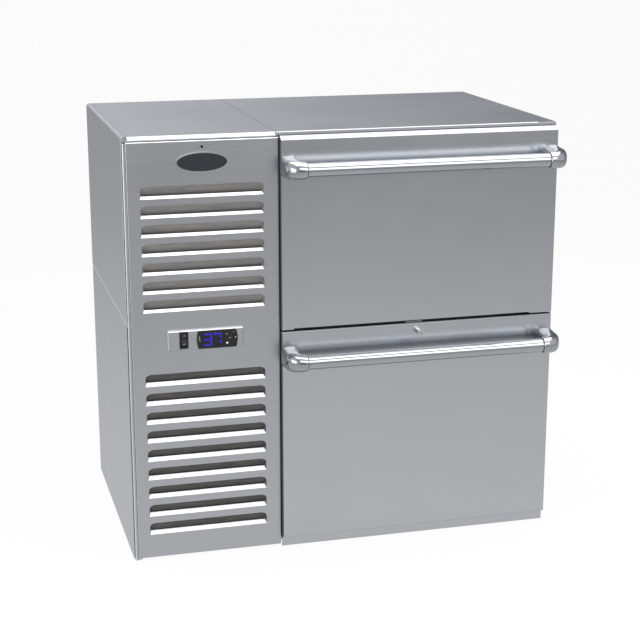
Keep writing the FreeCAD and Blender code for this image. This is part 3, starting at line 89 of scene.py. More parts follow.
def surfaced(material, shader, relief=None, depth_mm=0.0):
    """Closes a material: shader holds the sockets of its surface, relief is a pattern that raises the surface
    by depth_mm at most."""
    tree = material.node_tree
    if relief is not None:
        raised = add(tree, "ShaderNodeBump", {"Height": relief, "Strength": 1.0, "Distance": depth_mm * MM})
        shader["Normal"] = raised.outputs["Normal"]
    surface = add(tree, "ShaderNodeBsdfPrincipled", shader)
    if surface.inputs["Base Color"].is_linked:
        # Viewers that can't follow the nodes show this colour.
        surface.inputs["Base Color"].default_value = material.diffuse_color
    add(tree, "ShaderNodeOutputMaterial", {"Surface": surface.outputs["BSDF"]})
    return material


def spaced(tree, size_mm, drawn_out=(1, 1, 1)):
    """Place on the object counted in steps of size_mm, each axis drawn out by a factor."""
    place = add(tree, "ShaderNodeTexCoord").outputs["Object"]
    scale = [1 / (size_mm * MM * factor) for factor in drawn_out]
    return add(tree, "ShaderNodeMapping", {"Vector": place, "Scale": scale}).outputs["Vector"]


def grains(tree, size_mm, detail=2.0, drawn_out=(1, 1, 1)):
    """Cloudy pattern whose grains are size_mm wide, each axis drawn out by a factor."""
    place = spaced(tree, size_mm, drawn_out)
    return add(tree, "ShaderNodeTexNoise", {"Vector": place, "Scale": 1.0, "Detail": detail}).outputs["Fac"]


# Nearly all of a cloudy pattern lies between these values.
PATTERN_SPAN = (0.3, 0.7)


def between(tree, value, first, second, span=PATTERN_SPAN):
    """Goes from first to second, two numbers or two colours, while value goes over a span."""
    number = isinstance(first, (int, float))
    ends = (first, second) if number else (0.0, 1.0)
    share = add(
        tree,
        "ShaderNodeMapRange",
        {"Value": value, "From Min": span[0], "From Max": span[1], "To Min": ends[0], "To Max": ends[1]},
    ).outputs["Result"]
    if number:
        return share
    return add(tree, "ShaderNodeMix", {"Factor": share, 6: first, 7: second}, data_type="RGBA").outputs[2]


# --- materials ------------------------------------------------------------------------------------
def brushed_stainless(name, shade, deep, along, edge="#BCBEC2", roughness=0.30):
    """Cold-rolled 304 stainless sheet, belt-brushed to a No. 4 finish: long fine lines along the grain,
    which blur reflections more across than along, with faint cloudy patches left by wiping. The lines
    shade each other, so the sheet stays grey at a flat angle, where smooth steel would turn white."""
    material, tree = blank(name, shade)
    # The real lines are about 0.2 mm wide; they are drawn 0.6 mm wide here so that they show at all.
    lines = grains(tree, 0.6, 3.0, [260 if axis == along else 1 for axis in "xyz"])
    patches = grains(tree, 170.0, 1.5)
    both = add(tree, "ShaderNodeMix", {"Factor": 0.35, 2: lines, 3: patches}, data_type="FLOAT").outputs[0]
    shader = {
        "Metallic": 1.0,
        "Base Color": between(tree, both, linear(deep), linear(shade)),
        "Specular Tint": linear(edge),
        "Roughness": between(tree, both, roughness - 0.04, roughness + 0.04),
    }
    return surfaced(material, shader, lines, 0.003)


def painted_shade_stainless(name, shade, deep_shade, roughness):
    """Inner side of the pressed hoods: sheet that no brush reached, coloured with a painted shade.
    It shows as a soft warm grey without reflections, darker in mottled streaks that run along the hood."""
    material, tree = blank(name, shade)
    mottle = grains(tree, 7.0, 2.0, (5, 1, 1))
    shader = {
        "Metallic": 0.35,
        "Base Color": between(tree, mottle, linear(deep_shade), linear(shade)),
        "Roughness": between(tree, mottle, roughness + 0.04, roughness - 0.06),
    }
    return surfaced(material, shader)


def polished_stainless(name, shade, roughness):
    """Drawn stainless tube, polished along its length: sharp bright and dark bands that run along it."""
    material, tree = blank(name, shade)
    lines = grains(tree, 0.8, 2.0, (220, 1, 1))
    gloss = between(tree, lines, roughness - 0.03, roughness + 0.03)
    return surfaced(material, {"Metallic": 1.0, "Base Color": linear(shade), "Roughness": gloss})


def cast_stainless(name, shade, roughness):
    """Investment-cast stainless, tumbled and polished: a slightly wavy skin under a soft gloss."""
    material, tree = blank(name, shade)
    waves = grains(tree, 9.0)
    gloss = between(tree, waves, roughness - 0.03, roughness + 0.05)
    return surfaced(material, {"Metallic": 1.0, "Base Color": linear(shade), "Roughness": gloss}, waves, 0.03)


def galvanised_steel(name, shade, pale):
    """Hot-dip galvanised steel: flat crystals of zinc some 10 mm across, each a slightly different grey."""
    material, tree = blank(name, shade)
    crystals = add(tree, "ShaderNodeTexVoronoi", {"Vector": spaced(tree, 10.0), "Scale": 1.0})
    tone = add(tree, "ShaderNodeSeparateColor", {"Color": crystals.outputs["Color"]}).outputs["Red"]
    shader = {
        "Metallic": 1.0,
        "Base Color": between(tree, tone, linear(shade), linear(pale), (0, 1)),
        "Roughness": between(tree, tone, 0.35, 0.52, (0, 1)),
    }
    return surfaced(material, shader)


def blown_foam(name, shade, pale):
    """Blown polyurethane foam, cut and yellowed: matt, with a fine open cell."""
    material, tree = blank(name, shade)
    cells = grains(tree, 1.4)
    shader = {"Base Color": between(tree, cells, linear(shade), linear(pale)), "Roughness": 0.9}
    return surfaced(material, shader, cells, 0.3)


def moulded_plastic(name, shade, roughness, grit_mm=0.5, depth_mm=0.02, ior=1.5):
    """ABS moulded in a lightly etched tool, or acrylic in a polished one: an even skin, with a very fine
    grit in the etched one."""
    material, tree = blank(name, shade)
    grit = grains(tree, grit_mm)
    gloss = between(tree, grit, roughness - 0.05, roughness + 0.07)
    return surfaced(material, {"Base Color": linear(shade), "IOR": ior, "Roughness": gloss}, grit, depth_mm)


def plated_steel(name, shade, roughness):
    """Steel with bright zinc, nickel or chrome plate: clean metal with a faint cloud in it."""
    material, tree = blank(name, shade)
    gloss = between(tree, grains(tree, 6.0), roughness - 0.05, roughness + 0.06)
    return surfaced(material, {"Metallic": 1.0, "Base Color": linear(shade), "Roughness": gloss})


def sprayed_enamel(name, shade):
    """Sprayed enamel on steel: half gloss, with slight orange peel."""
    material, tree = blank(name, shade)
    peel = grains(tree, 1.2, 1.0)
    gloss = between(tree, peel, 0.32, 0.42)
    shader = {"Base Color": linear(shade), "IOR": 1.5, "Coat Weight": 0.3, "Roughness": gloss}
    return surfaced(material, shader, peel, 0.02)


def rolled_fins(name, shade, pale):
    """Thin aluminium fins, mill finish: pale, streaked along the rolling."""
    material, tree = blank(name, shade)
    streak = grains(tree, 1.6, 2.0, (1, 1, 30))
    shader = {
        "Metallic": 1.0,
        "Base Color": between(tree, streak, linear(shade), linear(pale)),
        "Roughness": between(tree, streak, 0.34, 0.48),
    }
    return surfaced(material, shader)


def copper_pipe(name, stain, clean):
    """Soft drawn copper pipe: warm metal, browned in patches by handling and heat."""
    material, tree = blank(name, clean)
    patches = grains(tree, 14.0, 3.0)
    shader = {
        "Metallic": 1.0,
        "Base Color": between(tree, patches, linear(stain), linear(clean)),
        "Roughness": between(tree, patches, 0.42, 0.24),
    }
    return surfaced(material, shader)


def extruded_vinyl(name, shade):
    """Extruded soft PVC: dull, slightly oily sheen, with marks along the extrusion."""
    material, tree = blank(name, shade)
    marks = grains(tree, 1.0, 2.0, (30, 1, 30))
    shader = {"Base Color": linear(shade), "IOR": 1.53, "Roughness": between(tree, marks, 0.45, 0.62)}
    return surfaced(material, shader, marks, 0.02)


def lit_segment(name, shade, middle, strength):
    """Segments of a light-emitting display: an even glow with a slightly paler middle."""
    material, tree = blank(name, shade)
    shader = {
        "Base Color": linear("#0A0A20"),
        "Roughness": 0.4,
        "Emission Color": between(tree, grains(tree, 3.0, 1.0), linear(shade), linear(middle)),
        "Emission Strength": strength,
    }
    return surfaced(material, shader)


def printed_ink(name, shade):
    """Pad-printed ink: flat colour, slightly worn."""
    material, tree = blank(name, shade)
    worn = between(tree, grains(tree, 1.5), 0.45, 0.62)
    return surfaced(material, {"Base Color": linear(shade), "Roughness": worn})


# Each material: how it is made, then its colours and settings. The two gloss plastics have no grit to feel.
RECIPES = {
    "brushed_stainless_top": (brushed_stainless, "#C3C5C9", "#BCBEC2", "x", "#F2F3F5"),
    "brushed_stainless_side": (brushed_stainless, "#C0C2C5", "#BABCC0", "y", "#F4F4F6"),
    "brushed_stainless_low_side": (brushed_stainless, "#C3C5C9", "#BCBEC2", "y", "#F0F1F3"),
    "brushed_stainless_drawer": (brushed_stainless, "#C3C5C9", "#BEC0C4", "x", "#BCBEC2", 0.22),
    "brushed_stainless_grille": (brushed_stainless, "#BCBEC2", "#B7B9BD", "x"),
    # Paler and darker copies of the same steel for edges: painted highlight and painted shade.
    "bright_turned_lip": (brushed_stainless, "#EDEEF0", "#E4E5E8", "x", "#FFFFFF", 0.36),
    "brushed_stainless_return": (brushed_stainless, "#D2D4D8", "#CBCDD1", "z", "#BCBEC2", 0.5),
    "shaded_stainless_edge": (brushed_stainless, "#94969A", "#8C8E92", "x", "#A8AAAD", 0.5),
    "shaded_stainless_return": (brushed_stainless, "#77797C", "#6E7073", "z", "#8A8C8F", 0.5),
    # Hood insides: painted shade, darker in the lower group.
    "dusty_hood": (painted_shade_stainless, "#8A8785", "#7C7978", 0.62),
    "dusty_low_hood": (painted_shade_stainless, "#5A5856", "#4C4A49", 0.66),
    "polished_handle_tube": (polished_stainless, "#AEB0B4", 0.10),
    "cast_handle_elbow": (cast_stainless, "#A9ABAF", 0.12),
    "galvanised_sheet": (galvanised_steel, "#8E9293", "#B4B6B7"),
    "polyurethane_foam": (blown_foam, "#C7B67A", "#E2D49D"),
    "black_abs": (moulded_plastic, "#08080A", 0.5),
    "black_button": (moulded_plastic, "#0D0D0F", 0.55),
    "grey_abs": (moulded_plastic, "#4A4A4C", 0.5),
    "black_gloss_badge": (moulded_plastic, "#2A2C31", 0.14, 2.0, 0.0),
    "display_window": (moulded_plastic, "#0A0A1E", 0.12, 2.0, 0.0, 1.49),
    "bright_zinc": (plated_steel, "#B9BDBF", 0.30),
    "bright_nickel": (plated_steel, "#CBCBCC", 0.16),
    "black_oxide": (plated_steel, "#2A2A2C", 0.4),
    "chrome_rim": (plated_steel, "#DADBDC", 0.10),
    "black_enamel": (sprayed_enamel, "#141416"),
    "grey_enamel": (sprayed_enamel, "#3A3B3D"),
    "fin_aluminium": (rolled_fins, "#A9ABAD", "#CDCFD1"),
    "drawn_copper": (copper_pipe, "#8C5238", "#D29268"),
    "soft_vinyl": (extruded_vinyl, "#232325"),
    "joint_sealant": (extruded_vinyl, "#242425"),
    "blue_segments": (lit_segment, "#1512B8", "#2A26D0", 0.8),
    "white_ink": (printed_ink, "#E4E4E0"),
    "grey_ink": (printed_ink, "#8B8A88"),
}
MATERIALS = {}


def material_for(name):
    """Makes each material once."""
    if name not in MATERIALS:
        make, *settings = RECIPES[name]
        MATERIALS[name] = make(name, *settings)
    return MATERIALS[name]


# --- mesh helpers ---------------------------------------------------------------------------------
def coat(node, name):
    """Gives a carried-over node its material."""
    thing = NODES[node]
    thing.data.materials.clear()
    thing.data.materials.append(material_for(name))
    return thing


def dress_faces(thing, name, chosen):
    """Gives the chosen faces of a node or piece a further material."""
    index = len(thing.data.materials)
    thing.data.materials.append(material_for(name))
    for face in thing.data.polygons:
        if chosen(face):
            face.material_index = index


# Faces that meet at less than this are shaded as one curved surface.
SMOOTH_BELOW = math.radians(35)


def piece_from(mesh_maker, name, material, body):
    """Makes a piece from a bmesh function, and lets it ride on its body."""
    mesh = bpy.data.meshes.new(name)
    built = bmesh.new()
    mesh_maker(built)
    bmesh.ops.recalc_face_normals(built, faces=built.faces)
    for face in built.faces:
        face.smooth = True
    for edge in built.edges:
        edge.smooth = edge.calc_face_angle(math.pi) < SMOOTH_BELOW
    built.to_mesh(mesh)
    built.free()
    mesh.materials.append(material_for(material))
    thing = bpy.data.objects.new(name, mesh)
    bpy.context.scene.collection.objects.link(thing)
    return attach(thing, body)


def slab(built, x0, x1, y0, y1, z0, z1):
    """Adds a thin block between two corners, in metres."""
    made = bmesh.ops.create_cube(built, size=1.0)
    size = (x1 - x0, y1 - y0, z1 - z0)
    centre = Vector(((x0 + x1) / 2, (y0 + y1) / 2, (z0 + z1) / 2))
    for vertex in made["verts"]:
        vertex.co = Vector(vertex.co[i] * size[i] for i in range(3)) + centre


def bridge(built, rings):
    """Joins each ring of vertices to the next by a band of faces."""
    for ring, follow in zip(rings, rings[1:]):
        for i in range(len(ring)):
            j = (i + 1) % len(ring)
            built.faces.new((ring[i], ring[j], follow[j], follow[i]))


def middle_of(node):
    """Middle of a node's box."""
    low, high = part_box(node)
    return (low + high) / 2


def front_of(node, x, z):
    """Point of a node's front that lies behind a place in the front view, and the direction it faces."""
    mesh = NODES[node].data
    tree = BVHTree.FromPolygons([v.co for v in mesh.vertices], [tuple(p.vertices) for p in mesh.polygons])
    point, normal, _, _ = tree.ray_cast(Vector((x, -1.0, z)), Vector((0, 1, 0)))
    if point is None:
        raise RuntimeError(f"{node} has no front at {x:.4f}, {z:.4f}")
    return point, normal


def disc(built, centre, normal, width, height, thick, lean=0.0, steps=24):
    """Adds a thin oval, flat against a face, with its long axis leaning by an angle from the horizontal."""
    turn = normal.to_track_quat("Z", "Y").to_matrix() @ Matrix.Rotation(lean, 3, "Z")
    rings = []
    for lift, share in ((0.0, 1.0), (thick, 1.0), (thick * 1.4, 0.8)):
        ring = []
        for i in range(steps):
            angle = 2 * math.pi * i / steps
            x, y = math.cos(angle) * width / 2 * share, math.sin(angle) * height / 2 * share
            ring.append(built.verts.new(centre + turn @ Vector((x, y, lift))))
        rings.append(ring)
    bridge(built, rings)
    built.faces.new(rings[0][::-1])
    built.faces.new(rings[-1])


def collar(built, x, y, z, inner, outer, wide, steps=48):
    """Adds a flat ring round an axis along X, from x to x + wide, with a rounded outer face."""
    shoulder = outer - wide * 0.3
    profile = ((inner, 0.0), (shoulder, 0.0), (outer, wide / 2), (shoulder, wide), (inner, wide))
    angles = [2 * math.pi * i / steps for i in range(steps)]
    rings = []
    for radius, along in profile:
        places = [(x + along, y + radius * math.cos(a), z + radius * math.sin(a)) for a in angles]
        rings.append([built.verts.new(place) for place in places])
    bridge(built, rings + rings[:1])


# Collar of a handle bracket: distance from the joint along the tube, and radius, in mm.
HANDLE_COLLAR = ((3.4, 14.5), (0.5, 14.5), (0.4, 15.9), (-0.6, 16.9), (-5.0, 17.3))


def bracket(built, tip_x, toward, joint_x, axis, face_y):
    """Adds a cast end of a bar handle: a collar on the tube, a tight bend, and a foot that grows taller and
    squarer towards the drawer front. tip_x is its outer side; toward is +1 where the tube is at its right."""
    half, bend = 17.5 * MM, 20.0 * MM  # half the arm's width, and radius of its bend
    foot_x = tip_x + toward * half
    run = Vector((toward, 0, 0))
    # Each section: centre in plan, direction across it in plan, half its width and height, squareness.
    sections = []
    for along, radius in HANDLE_COLLAR:
        centre = Vector((joint_x, axis.y, 0)) + run * along * MM
        sections.append((centre, Vector((0, -1, 0)), radius * MM, radius * MM, 2.0))
    for step in range(10):
        angle = math.pi / 2 * step / 9
        centre = Vector((foot_x, axis.y, 0)) + run * bend * (1 - math.sin(angle))
        centre.y += bend * (1 - math.cos(angle))
        across = Vector((-toward * math.sin(angle), -math.cos(angle), 0))
        sections.append((centre, across, half, half + step * 0.35 * MM, 2.0 + step * 0.1))
    # The foot: its upper and lower sides flare out by 3.15 to 5.55 mm.
    start = axis.y + bend
    for step in range(1, 6):
        share = step / 5
        centre = Vector((foot_x, start + (face_y - start) * share, 0))
        tall = half + (3.15 + 2.4 * share**2) * MM
        sections.append((centre, Vector((-toward, 0, 0)), half, tall, 2.9 + 0.5 * share))
    around = 40
    rings = []
    for centre, across, wide, tall, power in sections:
        ring = []
        for i in range(around):
            angle = 2 * math.pi * i / around
            c, s = math.cos(angle), math.sin(angle)
            out = math.copysign(abs(c) ** (2 / power), c) * wide
            rise = math.copysign(abs(s) ** (2 / power), s) * tall
            ring.append(built.verts.new(centre + across * out + Vector((0, 0, axis.z + rise))))
        rings.append(ring)
    bridge(built, rings)
    built.faces.new(rings[0])
    built.faces.new(rings[-1][::-1])


def turned_edge(built, node, seam_z, tall, radius, tongue):
    """Copies a side sheet and turns its upper edge inwards at seam_z, in a bend that catches the light,
    with a tongue that goes up behind the next sheet. The new edge reaches down from the seam by tall."""
    built.from_mesh(NODES[node].data)
    low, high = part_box(node)
    everything = built.verts[:] + built.edges[:] + built.faces[:]
    cut = bmesh.ops.bisect_plane(
        built, geom=everything, plane_co=(0, 0, seam_z - tall), plane_no=(0, 0, 1), clear_outer=True
    )
    bmesh.ops.holes_fill(built, edges=[e for e in cut["geom_cut"] if isinstance(e, bmesh.types.BMEdge)])
    outline = [(0.0, -tall)]
    for step in range(7):
        angle = math.pi / 2 * step / 6
        outline.append((radius * (1 - math.cos(angle)), radius * (math.sin(angle) - 1)))
    inner = radius + 0.6 * MM
    outline += [(radius, tongue), (inner, tongue), (inner, -tall)]
    rings = [[built.verts.new((low.x + x, y, seam_z + z)) for x, z in outline] for y in (low.y, high.y)]
    bridge(built, rings)
    built.faces.new(rings[0])
    built.faces.new(rings[1][::-1])


# --- settings -------------------------------------------------------------------------------------
class FridgeDisplaySettings(bpy.types.PropertyGroup):
    reading: IntProperty(name="Reading", description="Number on the display", default=37, min=0, max=99)
    digit_height: FloatProperty(
        name="Digit height",
        description="Height of a digit between the middles of its segments",
        default=22.6 * MM,
        min=5 * MM,
        max=25 * MM,
        unit="LENGTH",
    )
    stroke: FloatProperty(
        name="Stroke",
        description="Width of a digit's segments",
        default=4.0 * MM,
        min=0.5 * MM,
        unit="LENGTH",
    )


class FridgeStageSettings(bpy.types.PropertyGroup):
    camera_place: FloatVectorProperty(
        name="Camera",
        description="Where the camera stands",
        default=(-0.8549, -3.21095, 1.3181),
        subtype="TRANSLATION",
        unit="LENGTH",
    )
    camera_turn: FloatProperty(
        name="Turn",
        description="Camera's turn to the right",
        default=math.radians(15.052),
        subtype="ANGLE",
    )
    camera_tilt: FloatProperty(
        name="Tilt",
        description="Camera's tilt below the horizon",
        default=math.radians(15.218),
        subtype="ANGLE",
    )
    lens: FloatProperty(
        name="Lens", description="Focal length for a 36 mm sensor, in mm", default=86.15, min=20
    )
    floor_colour: FloatVectorProperty(
        name="Floor",
        description="Colour of the floor to the eye",
        default=linear("#FFFFFF")[:3],
        subtype="COLOR",
        size=3,
    )
    key_power: FloatProperty(
        name="Overhead light", description="Power of the large softbox overhead", default=74, unit="POWER"
    )
    fill_power: FloatProperty(
        name="Front light", description="Power of the low softbox in front", default=40, unit="POWER"
    )
    side_power: FloatProperty(
        name="Left light", description="Power of the low softbox at the left", default=13, unit="POWER"
    )


# --- operators ------------------------------------------------------------------------------------
class FRIDGE_OT_cabinet(bpy.types.Operator):
    """Finishes the outer sheets of the cabinet, its base and its back"""

    bl_idname = "fridge.cabinet"
    bl_label = "Cabinet"

    def execute(self, context):
        for node in ("side_panel_left_upper", "side_panel_right", "corner_post"):
            coat(node, "brushed_stainless_side")
        # The cut and bent front edges at the left corner carry a painted highlight, brighter than the sheets.
        for node in ("side_panel_left_upper", "corner_post"):
            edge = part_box(node)[0].x + 2.6 * MM
            dress_faces(NODES[node], "bright_turned_lip", lambda f: f.center.x < edge and f.normal.y < -0.2)
        # A raised eye sees the bend only below the upper sheet's edge, so the joint is 3.2 mm wide.
        seam_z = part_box("side_panel_left_upper")[0].z - 3.2 * MM

        def side(built):
            turned_edge(built, "side_panel_left_lower", seam_z, tall=6 * MM, radius=2.2 * MM, tongue=15 * MM)

        steel = "brushed_stainless_low_side"
        lower = piece_from(side, "left_lower_side", steel, "cabinet")
        # The bend's upper faces carry a painted highlight.
        dress_faces(lower, "bright_turned_lip", lambda f: f.normal.z > 0.3 and f.normal.x < -0.1)
        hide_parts("side_panel_left_lower")
        for node in ("top_panel_left", "top_panel_right", "kick_plate", "face_frame"):
            coat(node, "brushed_stainless_top")
        for node in ("base_frame", "back_panel"):
            coat(node, "galvanised_sheet")
        coat("cord_gland", "black_abs")
        return {"FINISHED"}


class FRIDGE_OT_louvred_front(bpy.types.Operator):
    """Finishes the louvred front of the machine compartment and its screw"""

    bl_idname = "fridge.louvred_front"
    bl_label = "Louvred front"

    def execute(self, context):
        panel = coat("grille_panel", "brushed_stainless_grille")
        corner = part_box("grille_panel")[0]
        plate_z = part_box("control_plate")[0].z

        def inside_hood(face):
            """The hoods' inner sides lie behind the sheet and face down or sideways."""
            return face.center.y > corner.y + 1.6 * MM and face.normal.z < 0.1 and face.normal.y < 0.3

        def on_lip(face):
            """The turned lips face up."""
            return face.center.y > corner.y + 0.2 * MM and face.normal.z > 0.3 and face.normal.y < -0.3

        def on_left_bend(face):
            """The panel's left edge is bent back."""
            return face.center.x < corner.x + 1.5 * MM and face.normal.x < -0.15

        # Painted shade on the hoods' inner sides, darker in the lower group below the control plate.
        dress_faces(panel, "dusty_hood", lambda f: inside_hood(f) and f.center.z > plate_z)
        dress_faces(panel, "dusty_low_hood", lambda f: inside_hood(f) and f.center.z < plate_z)
        # Painted highlight on the turned lips and the bent left edge.
        dress_faces(panel, "bright_turned_lip", lambda f: on_lip(f) or on_left_bend(f))
        coat("grille_screw", "black_oxide")
        return {"FINISHED"}


class FRIDGE_OT_badge(bpy.types.Operator):
    """Finishes the bare oval plate: a bright rim round a black field"""

    bl_idname = "fridge.badge"
    bl_label = "Oval plate"

    def execute(self, context):
        plate = coat("badge_plate", "chrome_rim")
        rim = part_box("badge_plate")[0].y
        dress_faces(plate, "black_gloss_badge", lambda f: f.center.y > rim + 0.4 * MM and f.normal.y < -0.5)
        return {"FINISHED"}


SEGMENTS = {
    "a": ((0, 1), (1, 1)),
    "b": ((1, 0.5), (1, 1)),
    "c": ((1, 0), (1, 0.5)),
    "d": ((0, 0), (1, 0)),
    "e": ((0, 0), (0, 0.5)),
    "f": ((0, 0.5), (0, 1)),
    "g": ((0, 0.5), (1, 0.5)),
}
DIGITS = ("abcdef", "bc", "abdeg", "abcdg", "bcfg", "acdfg", "acdefg", "abc", "abcdefg", "abcdfg")

# Carrier, body, place in mm from the carrier's middle, width and height in mm, lean in degrees, ink.
PRINTED_MARKS = (
    ("controller_housing", "cabinet", (-37.1, 2.4), (13.0, 1.8), 96, "grey_ink"),
    ("controller_housing", "cabinet", (19.4, 9.6), (3.2, 2.8), 0, "grey_ink"),
    ("controller_housing", "cabinet", (26.0, 0.9), (4.2, 2.2), 0, "grey_ink"),
    ("controller_housing", "cabinet", (19.8, -9.4), (4.4, 4.4), 0, "white_ink"),
    ("controller_housing", "cabinet", (37.1, 1.6), (2.2, 2.2), 0, "white_ink"),
    ("controller_housing", "cabinet", (33.0, 12.9), (2.4, 1.4), 0, "grey_ink"),
    ("switch_rocker", "power_rocker", (0.8, 8.6), (4.6, 1.5), 8, "grey_ink"),
    ("switch_rocker", "power_rocker", (-0.4, -8.2), (5.4, 1.6), 12, "grey_ink"),
)


class FRIDGE_OT_controls(bpy.types.Operator):
    """Finishes the control plate, the rocker switch and the controller with its digits and buttons"""

    bl_idname = "fridge.controls"
    bl_label = "Controls"

    def execute(self, context):
        settings = context.scene.fridge_display
        plate = coat("control_plate", "brushed_stainless_grille")
        # Painted highlight on the control plate's faces that look up or to the left.
        dress_faces(plate, "bright_turned_lip", lambda f: f.normal.z > 0.3 or f.normal.x < -0.3)
        for node in ("switch_housing", "controller_housing"):
            coat(node, "black_abs")
        for node in ("switch_rocker", "button_up", "button_down", "button_set", "button_light"):
            coat(node, "black_button")
        coat("display_lens", "display_window")
        centre = middle_of("display_lens")
        height, stroke = settings.digit_height, settings.stroke
        width = height * 0.6
        pitch = width + 1.5 * stroke
        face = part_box("display_lens")[0].y - 0.05 * MM

        def digits(built):
            for place, digit in enumerate("%02d" % settings.reading):
                left = centre.x - width - 0.75 * stroke + place * pitch
                base = centre.z - height / 2
                for name in DIGITS[int(digit)]:
                    (ax, az), (bx, bz) = SEGMENTS[name]
                    # Upright segments end short of the level ones.
                    wider, taller = (0.5, -0.6) if ax == bx else (0.4, 0.5)
                    x0, x1 = left + width * ax - stroke * wider, left + width * bx + stroke * wider
                    z0, z1 = base + height * az - stroke * taller, base + height * bz + stroke * taller
                    slab(built, x0, x1, face, face + 0.1 * MM, z0, z1)

        piece_from(digits, "display_digits", "blue_segments", "cabinet")
        for number, (carrier, body, place, size, lean, ink) in enumerate(PRINTED_MARKS, start=1):
            middle = middle_of(carrier)
            point, normal = front_of(carrier, middle.x + place[0] * MM, middle.z + place[1] * MM)

            def mark(built):
                disc(built, point, normal, size[0] * MM, size[1] * MM, 0.08 * MM, math.radians(lean))

            piece_from(mark, f"printed_mark_{number}", ink, body)
        return {"FINISHED"}


class FRIDGE_OT_drawers(bpy.types.Operator):
    """Finishes both drawers: fronts, cores, gaskets and trays"""

    bl_idname = "fridge.drawers"
    bl_label = "Drawers"

    def execute(self, context):
        for drawer in ("upper", "lower"):
            skin = coat(drawer + "_front_skin", "brushed_stainless_drawer")
            # The returns carry painted light: a painted highlight on the right one, painted shade on the left
            # one and on the lower drawer's top edge, in the joint between drawers.
            dress_faces(skin, "brushed_stainless_return", lambda f: f.normal.x > 0.9)
            dress_faces(skin, "shaded_stainless_return", lambda f: f.normal.x < -0.2)
            if drawer == "lower":
                dress_faces(skin, "shaded_stainless_edge", lambda f: 0.2 < f.normal.z < 0.97)
            coat(drawer + "_front_core", "polyurethane_foam")
            coat(drawer + "_gasket", "soft_vinyl")
            coat(drawer + "_drawer_tray", "brushed_stainless_top")
        return {"FINISHED"}


# The left bracket stands in from the CAD's elbow, beside the drawer's edge. The joint between tube and
# bracket lies past the CAD's tube end, and its ring is set back a little on the tube's side.
LEFT_INSET, JOINT_PAST_TUBE, RING_BACK = 3.5 * MM, 3.0 * MM, 0.4 * MM
RING_WIDE, RING_PROUD = 1.0 * MM, 1.0 * MM


class FRIDGE_OT_handles(bpy.types.Operator):
    """Finishes the bar handles"""

    bl_idname = "fridge.handles"
    bl_label = "Handles"

    def execute(self, context):
        for drawer in ("upper", "lower"):
            coat(drawer + "_handle_tube", "polished_handle_tube")
            low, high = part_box(drawer + "_handle_tube")
            left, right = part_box(drawer + "_handle_ends")
            face_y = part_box(drawer + "_front_skin")[0].y
            axis = (low + high) / 2
            radius = (high.z - low.z) / 2
            joints = (low.x - JOINT_PAST_TUBE, high.x + JOINT_PAST_TUBE)

            def ends(built):
                bracket(built, left.x + LEFT_INSET, 1, joints[0], axis, face_y)
                bracket(built, right.x, -1, joints[1], axis, face_y)

            def rings(built):
                for x in (joints[0] + RING_BACK, joints[1] - RING_BACK - RING_WIDE):
                    collar(built, x, axis.y, axis.z, radius, radius + RING_PROUD, RING_WIDE)

            body = drawer + "_drawer"
            brackets = piece_from(
                ends, drawer + "_handle_brackets", "cast_handle_elbow", body
            )
            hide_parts(drawer + "_handle_ends")
            piece_from(rings, drawer + "_handle_joints", "joint_sealant", body)
        return {"FINISHED"}


class FRIDGE_OT_lock(bpy.types.Operator):
    """Finishes the lock of the lower drawer and its keeper"""

    bl_idname = "fridge.lock"
    bl_label = "Lock"

    def execute(self, context):
        coat("lock_cylinder", "bright_nickel")
        coat("lock_plug", "bright_nickel")
        coat("lock_bolt", "bright_zinc")
        coat("lock_keeper", "bright_zinc")
        return {"FINISHED"}


class FRIDGE_OT_cold_room(bpy.types.Operator):
    """Finishes the insulated body, its liner, the slides and the evaporator"""

    bl_idname = "fridge.cold_room"
    bl_label = "Cold room"

    def execute(self, context):
        coat("insulated_body", "polyurethane_foam")
        coat("inner_liner", "brushed_stainless_top")
        coat("mullion", "grey_abs")
        coat("slides_fixed", "bright_zinc")
        for drawer in ("upper", "lower"):
            coat(drawer + "_slide_middle", "bright_zinc")
            coat(drawer + "_slide_inner", "bright_zinc")
        coat("evaporator_unit", "fin_aluminium")
        coat("evaporator_fan_motor", "grey_enamel")
        coat("evaporator_fan", "black_abs")
        return {"FINISHED"}


class FRIDGE_OT_condensing_unit(bpy.types.Operator):
    """Finishes the compressor, the condenser with its fan, the pipes and the wiring box"""

    bl_idname = "fridge.condensing_unit"
    bl_label = "Condensing unit"

    def execute(self, context):
        coat("unit_base", "galvanised_sheet")
        coat("condenser_coil", "fin_aluminium")
        coat("condenser_shroud", "grey_enamel")
        coat("condenser_fan_motor", "grey_enamel")
        coat("condenser_fan", "black_abs")
        coat("compressor", "black_enamel")
        coat("refrigerant_lines", "drawn_copper")
        coat("electrical_box", "galvanised_sheet")
        coat("condensate_pan", "grey_abs")
        return {"FINISHED"}


# How much of the paper's own tone an eye or a mirror sees; the rest is lit by the lamps and holds the shadow.
PAPER_TONE = 0.94
# Distances in metres over which the painted light on the paper falls off from pale to grey.
PAINTED_FALLOFF_REACH = (0.5, 6.0)
FLOOR_FRONT, FLOOR_BACK, FLOOR_HALF_WIDTH = -9.0, 3.4, 6.0
BACKDROP_BEND, BACKDROP_TOP = 1.0, 1.3

# Softboxes: name, place, target, size, and the setting that holds the power.
SOFTBOXES = (
    ("overhead_softbox", (0.3, -0.15, 2.7), (0.3, -0.15, 0.0), (3.2, 2.6), "key_power"),
    ("front_softbox", (0.3, -2.9, 2.1), (0.1, 0.0, 0.5), (3.6, 1.5), "fill_power"),
    ("left_softbox", (-2.6, -1.2, 0.75), (-0.2, -0.25, 0.6), (1.6, 1.1), "side_power"),
)


